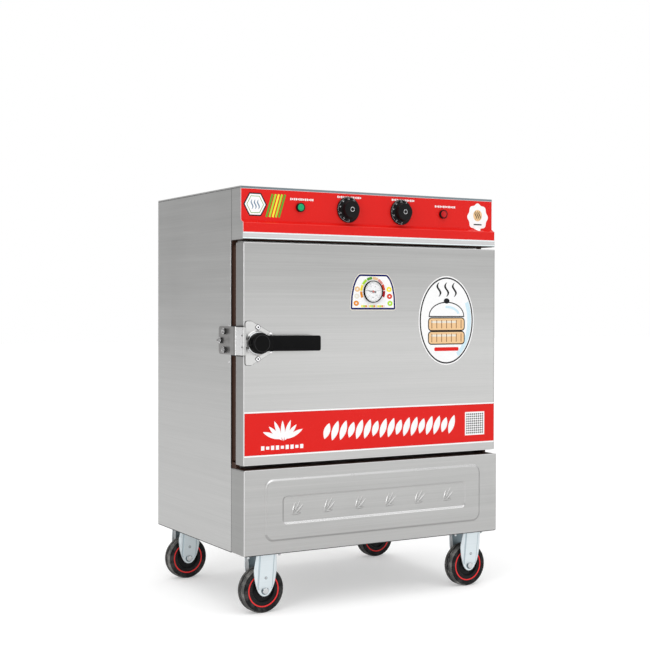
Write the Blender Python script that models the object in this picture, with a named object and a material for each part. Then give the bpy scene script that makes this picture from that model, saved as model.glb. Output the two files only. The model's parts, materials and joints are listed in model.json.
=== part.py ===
# Rice steamer cabinet on four fixed casters. Metres, +Z up, the door faces -Y.
# Every piece is drawn in the cabinet's own places: x from the middle, y back from the base's front
# plane, z up from the floor. The empty cabinet_frame then centres the whole over the origin.

import math

import bmesh
import bpy
from mathutils import Matrix, Vector

# Whole body
BODY_WIDTH = 0.700
BODY_DEPTH = 0.495
FLOOR_CLEARANCE = 0.138
SHEET = 0.0012
FIT_GAP = 0.0003
OVERRUN = 0.002
FLANGE = 0.012

# Front boxes, above the body's lower edge
BASE_HEIGHT = 0.192
BASE_DOOR_GAP = 0.0104
DOOR_HEIGHT = 0.4972
DOOR_FASCIA_GAP = 0.0068
FASCIA_HEIGHT = 0.1196
FRONT_BOX_DEPTH = 0.0655
TOP_LIP = 0.003

# Fascia
FASCIA_SET_BACK = 0.0214
LEDGE_REACH = 0.0114
LEDGE_DROP = 0.007
LIP_HEIGHT = 0.018
STRIP_HEIGHT = 0.019
FASCIA_BARE_RIM = 0.002
OVERLAY_THICKNESS = 0.0004
OVERLAY_SIDE_RIM = 0.0008
CONTROL_DROP = 0.043

# Lamps
LAMP_SIDE_PLACE = 0.151
LAMP_RADIUS = 0.0105
LAMP_PROUD = 0.006
LAMP_BARREL_RADIUS = 0.0078
LAMP_BARREL_LENGTH = 0.022
LENS_RADIUS = 0.0084
LENS_PROUD = 0.0022
LENS_SEAT = 0.004
LENS_CROWN_SHARE = 0.6
LENS_SHOULDER_SHARE = 0.25

# Knobs
KNOB_LEFT_PLACE = -0.071
KNOB_RIGHT_PLACE = 0.0765
SKIRT_RADIUS = 0.0303
SKIRT_THICKNESS = 0.0035
SKIRT_BEVEL = 0.0030
CAP_RADIUS = 0.0207
CAP_EDGE = 0.0015
KNOB_PROUD = 0.0218
KNOB_STAND_OFF = 0.0006
KNOB_RING_RADIUS = 0.0055
KNOB_RING_WALL = 0.0014
KNOB_RING_PROUD = 0.0006
SHAFT_RADIUS = 0.003
SHAFT_LENGTH = 0.018
SHAFT_CLEARANCE = 0.0005
CONTROL_BODY_WIDTH = 0.044
CONTROL_BODY_HEIGHT = 0.048
CONTROL_BODY_DEPTH = 0.034

# Base front panel
EMBOSS_PROUD = 0.003
EMBOSS_RAMP = 0.004
EMBOSS_SIDE_MARGIN = 0.055
EMBOSS_LOW_MARGIN = 0.031
EMBOSS_HIGH_MARGIN = 0.023
EMBOSS_CORNER = 0.015
RECESS_SIDE_MARGIN = 0.0985
RECESS_LOW_MARGIN = 0.061
RECESS_HIGH_MARGIN = 0.062
RECESS_CORNER = 0.009
RECESS_DEPTH = 0.0026
MOTIF_COUNT = 6
MOTIF_WIDTH = 0.050
MOTIF_HEIGHT = 0.030
MOTIF_PROUD = 0.0020
MOTIF_RAMP = 0.0020
MOTIF_ROUNDNESS_SHARE = 0.5

# Chamber
SIDE_INSULATION = 0.0385
BACK_INSULATION = 0.030
TOP_INSULATION = 0.036
LINER_SHEET = 0.001
FRAME_SHEET = 0.002
OPENING_SIDE_MARGIN = 0.040
OPENING_LOW_MARGIN = 0.034
OPENING_HIGH_MARGIN = 0.034
WALL_SKIRT = 0.030

# Tray racks
RACK_LEVELS = 6
RACK_FIRST_LEVEL = 0.010
RACK_TOP_ROOM = 0.0792
UPRIGHT_WIDTH = 0.025
UPRIGHT_THICKNESS = 0.005
UPRIGHT_MARGIN = 0.020
RUNNER_REACH = 0.014
RUNNER_THICKNESS = 0.003
RACK_FOOT_GAP = 0.0005

# Water tank and its grid
TANK_SHEET = 0.0015
TANK_SIDE_CLEARANCE = 0.005
TANK_FRONT_PLACE = 0.071
TANK_BACK_CLEARANCE = 0.006
TANK_RIM_DROP = 0.006
BEARER_HEIGHT = 0.040
BEARER_WIDTH = 0.040
BEARER_MARGIN = 0.060
GRID_THICKNESS = 0.002
GRID_FRONT_GAP = 0.046
GRID_BORDER = 0.020
GRID_COLUMNS = 8
GRID_ROWS = 4
GRID_SLOT_WIDTH = 0.010

# Heating element
ELEMENT_RADIUS = 0.0045
ELEMENT_FLOAT_CLEARANCE = 0.125
ELEMENT_DRAIN_CLEARANCE = 0.055
ELEMENT_RUNS = 6
ELEMENT_ABOVE_FLOOR = 0.020
ELEMENT_FRONT_CLEARANCE = 0.060
ELEMENT_REAR_CLEARANCE = 0.075
ELEMENT_END_REACH = 0.007
ELEMENT_ARC_STEPS = 6

# Float valve
FLOAT_SIDE_PLACE = 0.150
FLOAT_DROP = 0.040
VALVE_RADIUS = 0.0095
VALVE_NUT_RADIUS = 0.016
VALVE_NUT_LENGTH = 0.008
VALVE_OUTER_REACH = 0.026
VALVE_INNER_REACH = 0.018
FLOAT_ARM_LENGTH = 0.105
FLOAT_ARM_RADIUS = 0.0025
FLOAT_RADIUS = 0.024
FLOAT_SLOPE = 25
FLOAT_EYE_RADIUS = 0.005
FLOAT_EYE_LENGTH = 0.006
FLOAT_CHEEK = 0.002
FLOAT_PIN_RADIUS = 0.0018

# Rear fittings
REAR_REACH = 0.045
DRAIN_SIDE_PLACE = 0.110
DRAIN_ABOVE_FLOOR = 0.014
PIPE_RADIUS = 0.0105
PIPE_BORE_RADIUS = 0.008
DRAIN_BALL_RADIUS = 0.0165
DRAIN_BALL_LENGTH = 0.026
DRAIN_BALL_STAND_OFF = 0.009
STEM_RADIUS = 0.005
STEM_HEIGHT = 0.012
DRAIN_LEVER_LENGTH = 0.070
DRAIN_LEVER_WIDTH = 0.014
DRAIN_LEVER_THICKNESS = 0.003
DRAIN_PIN_RADIUS = 0.003
DRAIN_PIN_HEIGHT = 0.004
GLAND_SIDE_PLACE = 0.080
GLAND_HEIGHT = 0.110
GLAND_RADIUS = 0.011
GLAND_NUT_RADIUS = 0.016
GLAND_NUT_LENGTH = 0.006
GLAND_DOME_LENGTH = 0.018
GLAND_TAIL_LENGTH = 0.010
GLAND_BORE_RADIUS = 0.005
GLAND_MOUTH_WALL = 0.002
VENT_DROP = 0.0676
VENT_RADIUS = 0.014
VENT_BORE_RADIUS = 0.012
VENT_FLANGE_RADIUS = 0.024
VENT_FLANGE_THICKNESS = 0.003
VENT_REACH = 0.024
VENT_INNER_REACH = 0.004

# Door
DOOR_SET_BACK = 0.0044
DOOR_THICKNESS = 0.038
DOOR_LEFT_INSET = 0.0005
DOOR_RIGHT_INSET = 0.004
GASKET_INSET = 0.003
GASKET_WIDTH = 0.024
GASKET_CORNER = 0.008

# Door hinges
HINGE_HEIGHT = 0.080
HINGE_END_MARGIN = 0.060
HINGE_LEAF = 0.0025
HINGE_LEAF_MARGIN = 0.0014
HINGE_LEAF_LENGTH = 0.038
HINGE_DOOR_LEAF_LENGTH = 0.030
KNUCKLE_RADIUS = 0.006
KNUCKLE_STAND_OFF = 0.001
HINGE_PIN_RADIUS = 0.003
HINGE_PIN_CLEARANCE = 0.0003
HINGE_WEB = 0.0066

# Latch
LATCH_ABOVE_MIDDLE = 0.0242
LATCH_EDGE_DISTANCE = 0.0325
LATCH_PLATE_LEFT = 0.0038
LATCH_PLATE_WIDTH = 0.0675
LATCH_PLATE_HEIGHT = 0.098
LATCH_PLATE_FLAT_SHARE = 0.22
LATCH_PLATE_END_SHARE = 0.43
LATCH_PLATE_THICKNESS = 0.002
LATCH_PLATE_CORNER = 0.005
LATCH_SCREW_RADIUS = 0.0040
LATCH_SCREW_PROUD = 0.0012
LATCH_SCREW_SHARES = ((0.46, 0.36), (0.46, -0.36), (0.88, 0.19), (0.88, -0.19))
BOSS_HEIGHT = 0.004
BOSS_BASE_RADIUS = 0.029
BOSS_TOP_RADIUS = 0.0245
CAM_GAP = 0.0005
CAM_THICKNESS = 0.0026
CAM_WIDTH = 0.016
CAM_EDGE_REACH = 0.0015
HUB_RADIUS = 0.024
HUB_FACE_RADIUS = 0.0188
HUB_SHOULDER = 0.004
HUB_PROUD = 0.0289
LEVER_REACH = 0.148
LEVER_HEIGHT = 0.0345
LEVER_THICKNESS = 0.012
LEVER_FACE_DROP = 0.0015
LEVER_CORNER = 0.005
LEVER_EDGE = 0.0025
SPINDLE_RADIUS = 0.008
SPINDLE_DEPTH = 0.010

# Keeper on the left side panel
KEEPER_LIFT = 0.0048
KEEPER_HEIGHT = 0.064
KEEPER_REAR = 0.127
KEEPER_FOOT_FRONT = 0.070
KEEPER_JOGGLE_FRONT = 0.042
KEEPER_SHEET = 0.0025
KEEPER_STAND_OFF = 0.010
KEEPER_CORNER = 0.008
KEEPER_CURL_PROUD = 0.0208
STRIKE_GAP = 0.0009
STRIKE_EDGE_CLEARANCE = 0.001
KEEPER_BOLT_PLACES = ((0.095, 0.021), (0.095, -0.021), (0.114, 0.0))
KEEPER_NUT_RADIUS = 0.0065
KEEPER_NUT_LENGTH = 0.005
KEEPER_BOLT_RADIUS = 0.003

# Thermometer
DIAL_PLACE = -0.0125
DIAL_DROP = 0.1071
DIAL_RADIUS = 0.0265
DIAL_PROUD = 0.0062
DIAL_RIM = 0.0028
DIAL_CUP_DEPTH = 0.0042
DIAL_RIM_BEVEL = 0.0012
GLASS_THICKNESS = 0.001
GLASS_RECESS = 0.0004
PROBE_RADIUS = 0.004
PROBE_LENGTH = 0.090
NEEDLE_THICKNESS = 0.0006
NEEDLE_HUB_RADIUS = 0.0030
NEEDLE_REACH_SHARE = 0.82
NEEDLE_TAIL_SHARE = 0.34
NEEDLE_WIDTH_SHARE = 0.55
NEEDLE_TAIL_WIDTH_SHARE = 1.5
NEEDLE_REST_ANGLE = 172

# Casters
WHEEL_RADIUS = 0.053
TYRE_WIDTH = 0.030
TYRE_SHOULDER = 0.005
TYRE_SHOULDER_SHARES = ((1.0, 0.0), (0.33, 0.5), (0.0, 1.4))
TYRE_INNER_RADIUS = 0.0335
TYRE_SEAT_INSET = 0.0015
RING_OUTER_RADIUS = 0.039
CORE_WEB_WIDTH = 0.014
CORE_RIM = 0.006
CORE_HUB_RADIUS = 0.014
CORE_SIDE_GAP = 0.0008
AXLE_RADIUS = 0.005
AXLE_CLEARANCE = 0.0003
AXLE_HEAD_RADIUS = 0.0085
AXLE_HEAD_LENGTH = 0.005
CASTER_SIDE_PLACE = 0.064
CASTER_FRONT_SETBACK = 0.018
CASTER_REAR_SETBACK = 0.002
FORK_WIDTH = 0.053
FORK_SHEET = 0.0025
FORK_LEG_LENGTH = 0.059
FORK_END_RADIUS = 0.015
FORK_SHOULDER_DROP = 0.038
FORK_RIB_WIDTH = 0.026
FORK_RIB_PROUD = 0.0012
FORK_RIB_DROP = 0.006
CASTER_PLATE_LENGTH = 0.090
CASTER_PLATE_THICKNESS = 0.003
CASTER_PLATE_DROP = 0.003
CASTER_BOLT_SPREAD = 0.037
CASTER_BOLT_MARGIN = 0.010
CASTER_NUT_RADIUS = 0.0065
CASTER_NUT_LENGTH = 0.006

# Roundness of curved faces, as numbers of flats
WHEEL_STEPS = 28
KNOB_STEPS = 28
ROUND_STEPS = 16
SMALL_STEPS = 10
NUT_STEPS = 6
CORNER_STEPS = 4
CURL_STEPS = 6
FILLET_REACH_SHARE = 0.48
CREASE_ANGLE = 35

# Places worked out from the sizes above
SIDE = BODY_WIDTH / 2
LOW = FLOOR_CLEARANCE
BASE_TOP = LOW + BASE_HEIGHT
DOOR_LOW = BASE_TOP + BASE_DOOR_GAP
DOOR_HIGH = DOOR_LOW + DOOR_HEIGHT
FASCIA_LOW = DOOR_HIGH + DOOR_FASCIA_GAP
TOP = FASCIA_LOW + FASCIA_HEIGHT
FASCIA_TOP = TOP - TOP_LIP - FIT_GAP
SEAM = FRONT_BOX_DEPTH
BACK = BODY_DEPTH
BACK_INNER = BACK - SHEET - FIT_GAP
SIDE_INNER = SIDE - SHEET - FIT_GAP
FRAME_BACK = SEAM + FRAME_SHEET
CONTROL_Z = TOP - CONTROL_DROP
LAMP_X = SIDE - LAMP_SIDE_PLACE
LIP_TOP = FASCIA_LOW + STRIP_HEIGHT + LIP_HEIGHT
LEDGE_TOP = LIP_TOP + LEDGE_DROP
LIP_FACE = FASCIA_SET_BACK - LEDGE_REACH

CHAMBER_SIDE = SIDE_INNER - SIDE_INSULATION
CHAMBER_BACK = BACK_INNER - SHEET - FIT_GAP - BACK_INSULATION
CHAMBER_CEILING = DOOR_HIGH - OPENING_HIGH_MARGIN + OVERRUN
OPENING_SIDE = SIDE - OPENING_SIDE_MARGIN
OPENING_LOW = DOOR_LOW + OPENING_LOW_MARGIN
OPENING_HIGH = DOOR_HIGH - OPENING_HIGH_MARGIN
RACK_LOW = OPENING_LOW + RACK_FIRST_LEVEL
RACK_PITCH = (OPENING_HIGH - RACK_TOP_ROOM - RACK_LOW) / (RACK_LEVELS - 1)

EMBOSS_SIDE = SIDE - EMBOSS_SIDE_MARGIN
EMBOSS_LOW = LOW + EMBOSS_LOW_MARGIN
EMBOSS_HIGH = BASE_TOP - EMBOSS_HIGH_MARGIN
RECESS_SIDE = SIDE - RECESS_SIDE_MARGIN
RECESS_LOW = LOW + RECESS_LOW_MARGIN
RECESS_HIGH = BASE_TOP - RECESS_HIGH_MARGIN
MOTIF_PITCH = 2 * RECESS_SIDE / MOTIF_COUNT

PLATE_LOW = LOW + CASTER_PLATE_DROP + CASTER_PLATE_THICKNESS + FIT_GAP
PLATE_HIGH = PLATE_LOW + SHEET
TANK_LOW = PLATE_HIGH + BEARER_HEIGHT + FIT_GAP
TANK_FLOOR = TANK_LOW + TANK_SHEET
TANK_TOP = BASE_TOP - TANK_RIM_DROP
TANK_SIDE = CHAMBER_SIDE - LINER_SHEET - TANK_SIDE_CLEARANCE
TANK_BACK = CHAMBER_BACK - TANK_BACK_CLEARANCE
GRID_LOW = TANK_TOP + FIT_GAP
GRID_HIGH = GRID_LOW + GRID_THICKNESS

DOOR_LEFT = -SIDE + DOOR_LEFT_INSET
DOOR_RIGHT = SIDE - DOOR_RIGHT_INSET
DOOR_FRONT = DOOR_SET_BACK
DOOR_BACK = DOOR_FRONT + DOOR_THICKNESS

HINGE_X = SIDE + KNUCKLE_RADIUS + KNUCKLE_STAND_OFF
HINGE_Y = (DOOR_BACK + SEAM) / 2
SIDE_REACH = HINGE_X + KNUCKLE_RADIUS

LATCH_X = -SIDE + LATCH_EDGE_DISTANCE
LATCH_Z = (DOOR_LOW + DOOR_HIGH) / 2 + LATCH_ABOVE_MIDDLE
LATCH_PLATE_FACE = DOOR_FRONT - FIT_GAP - LATCH_PLATE_THICKNESS
BOSS_FACE = LATCH_PLATE_FACE - BOSS_HEIGHT
CAM_BACK = BOSS_FACE - CAM_GAP
CAM_FRONT = CAM_BACK - CAM_THICKNESS
HUB_BACK = CAM_FRONT - FIT_GAP
HUB_FRONT = DOOR_FRONT - HUB_PROUD
KEEPER_FACE = -SIDE - FIT_GAP
KEEPER_Z = LATCH_Z + KEEPER_LIFT
STRIKE_BACK = CAM_FRONT - STRIKE_GAP
CAM_TIP = -SIDE - CAM_EDGE_REACH

DIAL_Z = DOOR_HIGH - DIAL_DROP
DIAL_BACK = DOOR_FRONT - FIT_GAP
DIAL_FRONT = DIAL_BACK - DIAL_PROUD
DIAL_FLOOR = DIAL_FRONT + DIAL_CUP_DEPTH
DIAL_CUP_RADIUS = DIAL_RADIUS - DIAL_RIM

DRAIN_X = SIDE - DRAIN_SIDE_PLACE
DRAIN_Z = TANK_FLOOR + DRAIN_ABOVE_FLOOR
DRAIN_BALL_MIDDLE = BACK + DRAIN_BALL_STAND_OFF + DRAIN_BALL_LENGTH / 2
FLOAT_X = FLOAT_SIDE_PLACE - SIDE
FLOAT_Z = TANK_TOP - FLOAT_DROP
FLOAT_PIVOT_Y = TANK_BACK - TANK_SHEET - VALVE_INNER_REACH - FLOAT_EYE_RADIUS - FIT_GAP
GLAND_X = GLAND_SIDE_PLACE - SIDE
GLAND_Z = LOW + GLAND_HEIGHT
VENT_Z = CHAMBER_CEILING - VENT_DROP
ELEMENT_Z = TANK_FLOOR + ELEMENT_ABOVE_FLOOR
ELEMENT_LEFT = FLOAT_X + ELEMENT_FLOAT_CLEARANCE
ELEMENT_RIGHT = DRAIN_X - ELEMENT_DRAIN_CLEARANCE
ELEMENT_TURN = (ELEMENT_RIGHT - ELEMENT_LEFT) / (2 * (ELEMENT_RUNS - 1))

AXLE_Z = WHEEL_RADIUS * math.cos(math.pi / WHEEL_STEPS)
CASTER_X = SIDE - CASTER_SIDE_PLACE
CASTER_PLATE_HIGH = PLATE_LOW - FIT_GAP
CASTER_PLATE_LOW = CASTER_PLATE_HIGH - CASTER_PLATE_THICKNESS
CASTERS = {
    "front_left": (-CASTER_X, CASTER_FRONT_SETBACK + FORK_WIDTH / 2),
    "front_right": (CASTER_X, CASTER_FRONT_SETBACK + FORK_WIDTH / 2),
    "rear_left": (-CASTER_X, BACK - CASTER_REAR_SETBACK - FORK_WIDTH / 2),
    "rear_right": (CASTER_X, BACK - CASTER_REAR_SETBACK - FORK_WIDTH / 2),
}

MIDDLE_Y = (HUB_FRONT + BACK + REAR_REACH) / 2


def clear_scene():
    for obj in list(bpy.data.objects):
        bpy.data.objects.remove(obj, do_unlink=True)


def finish(name, colour, roughness, metallic=0.0):
    material = bpy.data.materials.new(name)
    material.use_nodes = True
    shader = material.node_tree.nodes["Principled BSDF"]
    shader.inputs["Base Color"].default_value = (*colour, 1.0)
    shader.inputs["Roughness"].default_value = roughness
    shader.inputs["Metallic"].default_value = metallic
    return material


def make_finishes():
    return {
        "steel": finish("brushed_steel", (0.52, 0.52, 0.51), 0.34, 1.0),
        "bright": finish("polished_steel", (0.72, 0.72, 0.72), 0.18, 1.0),
        "zinc": finish("zinc_plate", (0.60, 0.65, 0.68), 0.30, 1.0),
        "brass": finish("brass", (0.62, 0.45, 0.18), 0.35, 1.0),
        "red": finish("red_film", (0.78, 0.02, 0.015), 0.30),
        "black": finish("black_plastic", (0.012, 0.012, 0.012), 0.38),
        "rubber": finish("tyre_rubber", (0.010, 0.010, 0.010), 0.70),
        "gasket": finish("gasket_rubber", (0.030, 0.018, 0.012), 0.60),
        "foam": finish("insulation_foam", (0.80, 0.74, 0.52), 0.90),
        "green_lens": finish("green_lens", (0.0, 0.38, 0.13), 0.20),
        "red_lens": finish("red_lens", (0.58, 0.0, 0.004), 0.20),
        "glass": finish("clear_glass", (0.90, 0.93, 0.93), 0.05),
        "needle": finish("needle_black", (0.02, 0.02, 0.02), 0.50),
        "float": finish("float_plastic", (0.85, 0.85, 0.82), 0.45),
    }


def pivot(name, place, parent=None):
    """An empty on a joint's axis, or the cabinet's own frame."""
    empty = bpy.data.objects.new(name, None)
    bpy.context.scene.collection.objects.link(empty)
    empty["place"] = place
    if parent is None:
        empty.location = (place[0], place[1] - MIDDLE_Y, place[2])
    else:
        empty.parent = parent
        empty.location = Vector(place) - Vector(parent["place"])
    return empty


def put(name, mesh_maker, rider, material=None):
    """One object drawn in the cabinet's places and carried by the empty that it moves with."""
    work = bmesh.new()
    mesh_maker(work)
    bmesh.ops.recalc_face_normals(work, faces=work.faces)
    mesh = bpy.data.meshes.new(name)
    work.to_mesh(mesh)
    work.free()
    obj = bpy.data.objects.new(name, mesh)
    bpy.context.scene.collection.objects.link(obj)
    obj.parent = rider
    obj.location = -Vector(rider["place"])
    if material is not None:
        mesh.materials.append(material)
    return obj


def helper(name, mesh_maker, rider):
    obj = put(name, mesh_maker, rider)
    obj.hide_render = True
    obj.display_type = "WIRE"
    return obj


def combine(obj, mesh_maker, operation):
    """A Boolean on obj with a hidden helper that is drawn by mesh_maker."""
    label = f"{obj.name}_{operation.lower()}_{len(obj.modifiers)}"
    tool = helper(label, mesh_maker, obj.parent)
    modifier = obj.modifiers.new(operation.title(), "BOOLEAN")
    modifier.operation = operation
    modifier.solver = "EXACT"
    modifier.use_self = operation == "UNION"
    modifier.object = tool
    return obj


def cut(obj, mesh_maker):
    return combine(obj, mesh_maker, "DIFFERENCE")


def join(obj, mesh_maker):
    return combine(obj, mesh_maker, "UNION")


def trim(obj, mesh_maker):
    return combine(obj, mesh_maker, "INTERSECT")


def smooth(obj):
    obj.data.shade_smooth()
    obj.data.set_sharp_from_angle(angle=math.radians(CREASE_ANGLE))
    return obj


def at(axis, first, second, along):
    """A point from its place along an axis and its two places across it, in X, Y, Z order."""
    if axis == "X":
        return (along, first, second)
    if axis == "Y":
        return (first, along, second)
    return (first, second, along)


def add_box(work, low, high):
    middle = (Vector(low) + Vector(high)) / 2
    size = Vector(high) - Vector(low)
    scale = Matrix.Diagonal((*size, 1.0))
    bmesh.ops.create_cube(work, size=1.0, matrix=Matrix.Translation(middle) @ scale)


def boxes(*corners):
    def draw(work):
        for low, high in corners:
            add_box(work, low, high)

    return draw


def add_loft(work, axis, sections):
    """A closed solid through outlines of as many points each, at their places along the axis."""
    rings = []
    for outline, along in sections:
        rings.append([work.verts.new(at(axis, u, v, along)) for u, v in outline])
    work.faces.new(rings[0])
    work.faces.new(rings[-1])
    for ring, following in zip(rings, rings[1:]):
        for i, vertex in enumerate(ring):
            j = (i + 1) % len(ring)
            work.faces.new((vertex, ring[j], following[j], following[i]))


def loft(axis, *sections):
    return lambda work: add_loft(work, axis, sections)


def prism(axis, outline, start, end):
    return lambda work: add_loft(work, axis, ((outline, start), (outline, end)))


def add_turned(work, axis, centre, profile, steps, hollow=False):
    """A turned solid. profile holds (radius, place along the axis); flats face along the axes."""
    rings = []
    for radius, along in profile:
        ring = []
        for i in range(steps if radius else 1):
            angle = (i + 0.5) * math.tau / steps
            first = centre[0] + radius * math.cos(angle)
            second = centre[1] + radius * math.sin(angle)
            ring.append(work.verts.new(at(axis, first, second, along)))
        rings.append(ring)
    pairs = list(zip(rings, rings[1:]))
    if hollow:
        pairs.append((rings[-1], rings[0]))
    for ring, following in pairs:
        for i in range(steps):
            j = (i + 1) % steps
            corners = (ring[i % len(ring)], ring[j % len(ring)])
            corners += (following[j % len(following)], following[i % len(following)])
            work.faces.new(tuple(dict.fromkeys(corners)))


def turned(axis, centre, profile, steps, hollow=False):
    return lambda work: add_turned(work, axis, centre, profile, steps, hollow)


def rod(axis, centre, radius, start, end, steps=SMALL_STEPS):
    profile = ((0, start), (radius, start), (radius, end), (0, end))
    return turned(axis, centre, profile, steps)


def together(*makers):
    def draw(work):
        for maker in makers:
            maker(work)

    return draw


def rounded(points, radius, steps=CORNER_STEPS):
    """The outline with each corner turned into an arc, no larger than its sides leave room for."""
    outline = []
    for i, point in enumerate(points):
        here = Vector(point)
        back = Vector(points[i - 1]) - here
        ahead = Vector(points[(i + 1) % len(points)]) - here
        half = back.angle(ahead) / 2
        room = FILLET_REACH_SHARE * min(back.length, ahead.length)
        reach = min(radius / math.tan(half), room)
        bend = reach * math.tan(half)
        centre = here + (back.normalized() + ahead.normalized()).normalized() * bend / math.sin(half)
        start = here + back.normalized() * reach - centre
        end = here + ahead.normalized() * reach - centre
        first = math.atan2(start.y, start.x)
        sweep = (math.atan2(end.y, end.x) - first + math.pi) % math.tau - math.pi
        for step in range(steps + 1):
            angle = first + sweep * step / steps
            outline.append((centre.x + bend * math.cos(angle), centre.y + bend * math.sin(angle)))
    return outline


def rectangle(low_u, low_v, high_u, high_v):
    return ((low_u, low_v), (high_u, low_v), (high_u, high_v), (low_u, high_v))


def bent_strip(points, thickness):
    """The outline of a bent sheet of this thickness along a line of points."""
    sides = ([], [])
    for i, point in enumerate(points):
        here = Vector(point)
        runs = []
        if i > 0:
            runs.append((here - Vector(points[i - 1])).normalized())
        if i < len(points) - 1:
            runs.append((Vector(points[i + 1]) - here).normalized())
        normals = [Vector((-run.y, run.x)) for run in runs]
        mitre = (normals[0] + normals[-1]).normalized()
        offset = mitre * thickness / 2 / mitre.dot(normals[0])
        sides[0].append(tuple(here + offset))
        sides[1].append(tuple(here - offset))
    return sides[0] + sides[1][::-1]


def side_panel(name, side, finishes, root):
    outer = side * SIDE
    inner = side * (SIDE - SHEET)
    flange = side * (SIDE - FLANGE)
    outline = (
        (outer, SEAM),
        (inner, SEAM),
        (inner, BACK_INNER - SHEET),
        (flange, BACK_INNER - SHEET),
        (flange, BACK_INNER),
        (outer, BACK_INNER),
    )
    return put(name, prism("Z", outline, LOW, FASCIA_TOP), root, finishes["steel"])


def back_panel(finishes, root):
    sheet = boxes(((-SIDE, BACK - SHEET, LOW), (SIDE, BACK, FASCIA_TOP)))
    panel = put("back_panel", sheet, root, finishes["steel"])
    front = BACK - SHEET - OVERRUN
    rear = BACK + OVERRUN
    holes = together(
        rod("Y", (DRAIN_X, DRAIN_Z), PIPE_RADIUS + FIT_GAP, front, rear, ROUND_STEPS),
        rod("Y", (FLOAT_X, FLOAT_Z), VALVE_RADIUS + FIT_GAP, front, rear, ROUND_STEPS),
        rod("Y", (GLAND_X, GLAND_Z), GLAND_RADIUS + FIT_GAP, front, rear, ROUND_STEPS),
        rod("Y", (0, VENT_Z), VENT_RADIUS + FIT_GAP, front, rear, ROUND_STEPS),
    )
    return cut(panel, holes)


def top_panel(finishes, root):
    sheet = boxes(((-SIDE, FASCIA_SET_BACK, TOP - TOP_LIP), (SIDE, BACK, TOP)))
    panel = put("top_panel", sheet, root, finishes["steel"])
    inside_low = (-SIDE + SHEET, FASCIA_SET_BACK + SHEET, TOP - TOP_LIP - OVERRUN)
    inside_high = (SIDE - SHEET, BACK - SHEET, TOP - SHEET)
    return cut(panel, boxes((inside_low, inside_high)))


def base_plate(finishes, root):
    front = FLANGE + FIT_GAP
    plate = boxes(((-SIDE_INNER, front, PLATE_LOW), (SIDE_INNER, BACK_INNER - SHEET, PLATE_HIGH)))
    obj = put("base_plate", plate, root, finishes["steel"])
    half = BEARER_WIDTH / 2
    high = PLATE_HIGH + BEARER_HEIGHT
    foot = PLATE_LOW + SHEET / 2
    channels = []
    for middle in (TANK_FRONT_PLACE + BEARER_MARGIN, TANK_BACK - BEARER_MARGIN):
        line = (
            (middle - half, foot),
            (middle - half, high - SHEET / 2),
            (middle + half, high - SHEET / 2),
            (middle + half, foot),
        )
        channels.append(prism("X", bent_strip(line, SHEET), -TANK_SIDE, TANK_SIDE))
    return join(obj, together(*channels))


def front_frame(finishes, root):
    low = BASE_TOP + FIT_GAP
    high = FASCIA_LOW - FIT_GAP
    ring = boxes(((-SIDE_INNER, SEAM, low), (SIDE_INNER, FRAME_BACK, high)))
    frame = put("front_frame", ring, root, finishes["steel"])
    mouth_low = (-OPENING_SIDE, SEAM - OVERRUN, OPENING_LOW)
    mouth_high = (OPENING_SIDE, FRAME_BACK + OVERRUN, OPENING_HIGH)
    return cut(frame, boxes((mouth_low, mouth_high)))


def chamber_walls(finishes, root):
    front = FRAME_BACK + FIT_GAP
    low = BASE_TOP - WALL_SKIRT
    high = CHAMBER_CEILING - FIT_GAP
    outer = CHAMBER_SIDE
    inner = CHAMBER_SIDE - LINER_SHEET
    back = CHAMBER_BACK - FIT_GAP
    for name, ends in (("left", (-outer, -inner)), ("right", (inner, outer))):
        wall = boxes(((ends[0], front, low), (ends[1], back, high)))
        put(f"chamber_wall_{name}", wall, root, finishes["bright"])
    rear = boxes(((-outer, CHAMBER_BACK, low), (outer, CHAMBER_BACK + LINER_SHEET, high)))
    wall = put("chamber_wall_back", rear, root, finishes["bright"])
    vent = rod("Y", (0, VENT_Z), VENT_RADIUS + FIT_GAP, back, BACK, ROUND_STEPS)
    cut(wall, vent)
    ceiling_low = (-outer, front, CHAMBER_CEILING)
    ceiling_high = (outer, CHAMBER_BACK + LINER_SHEET, CHAMBER_CEILING + LINER_SHEET)
    put("chamber_ceiling", boxes((ceiling_low, ceiling_high)), root, finishes["bright"])


def insulation_jacket(finishes, root):
    front = FRAME_BACK + FIT_GAP
    low = BASE_TOP - WALL_SKIRT
    high = CHAMBER_CEILING + LINER_SHEET + TOP_INSULATION
    outside_high = (SIDE_INNER, BACK_INNER - SHEET - FIT_GAP, high)
    jacket = put(
        "insulation_jacket",
        boxes(((-SIDE_INNER, front, low), outside_high)),
        root,
        finishes["foam"],
    )
    inside = CHAMBER_SIDE + FIT_GAP
    inside_high = (
        inside,
        CHAMBER_BACK + LINER_SHEET + FIT_GAP,
        CHAMBER_CEILING + LINER_SHEET + FIT_GAP,
    )
    cut(jacket, boxes(((-inside, front - OVERRUN, low - OVERRUN), inside_high)))
    vent = rod("Y", (0, VENT_Z), VENT_RADIUS + FIT_GAP, CHAMBER_BACK, BACK, ROUND_STEPS)
    return cut(jacket, vent)


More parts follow.
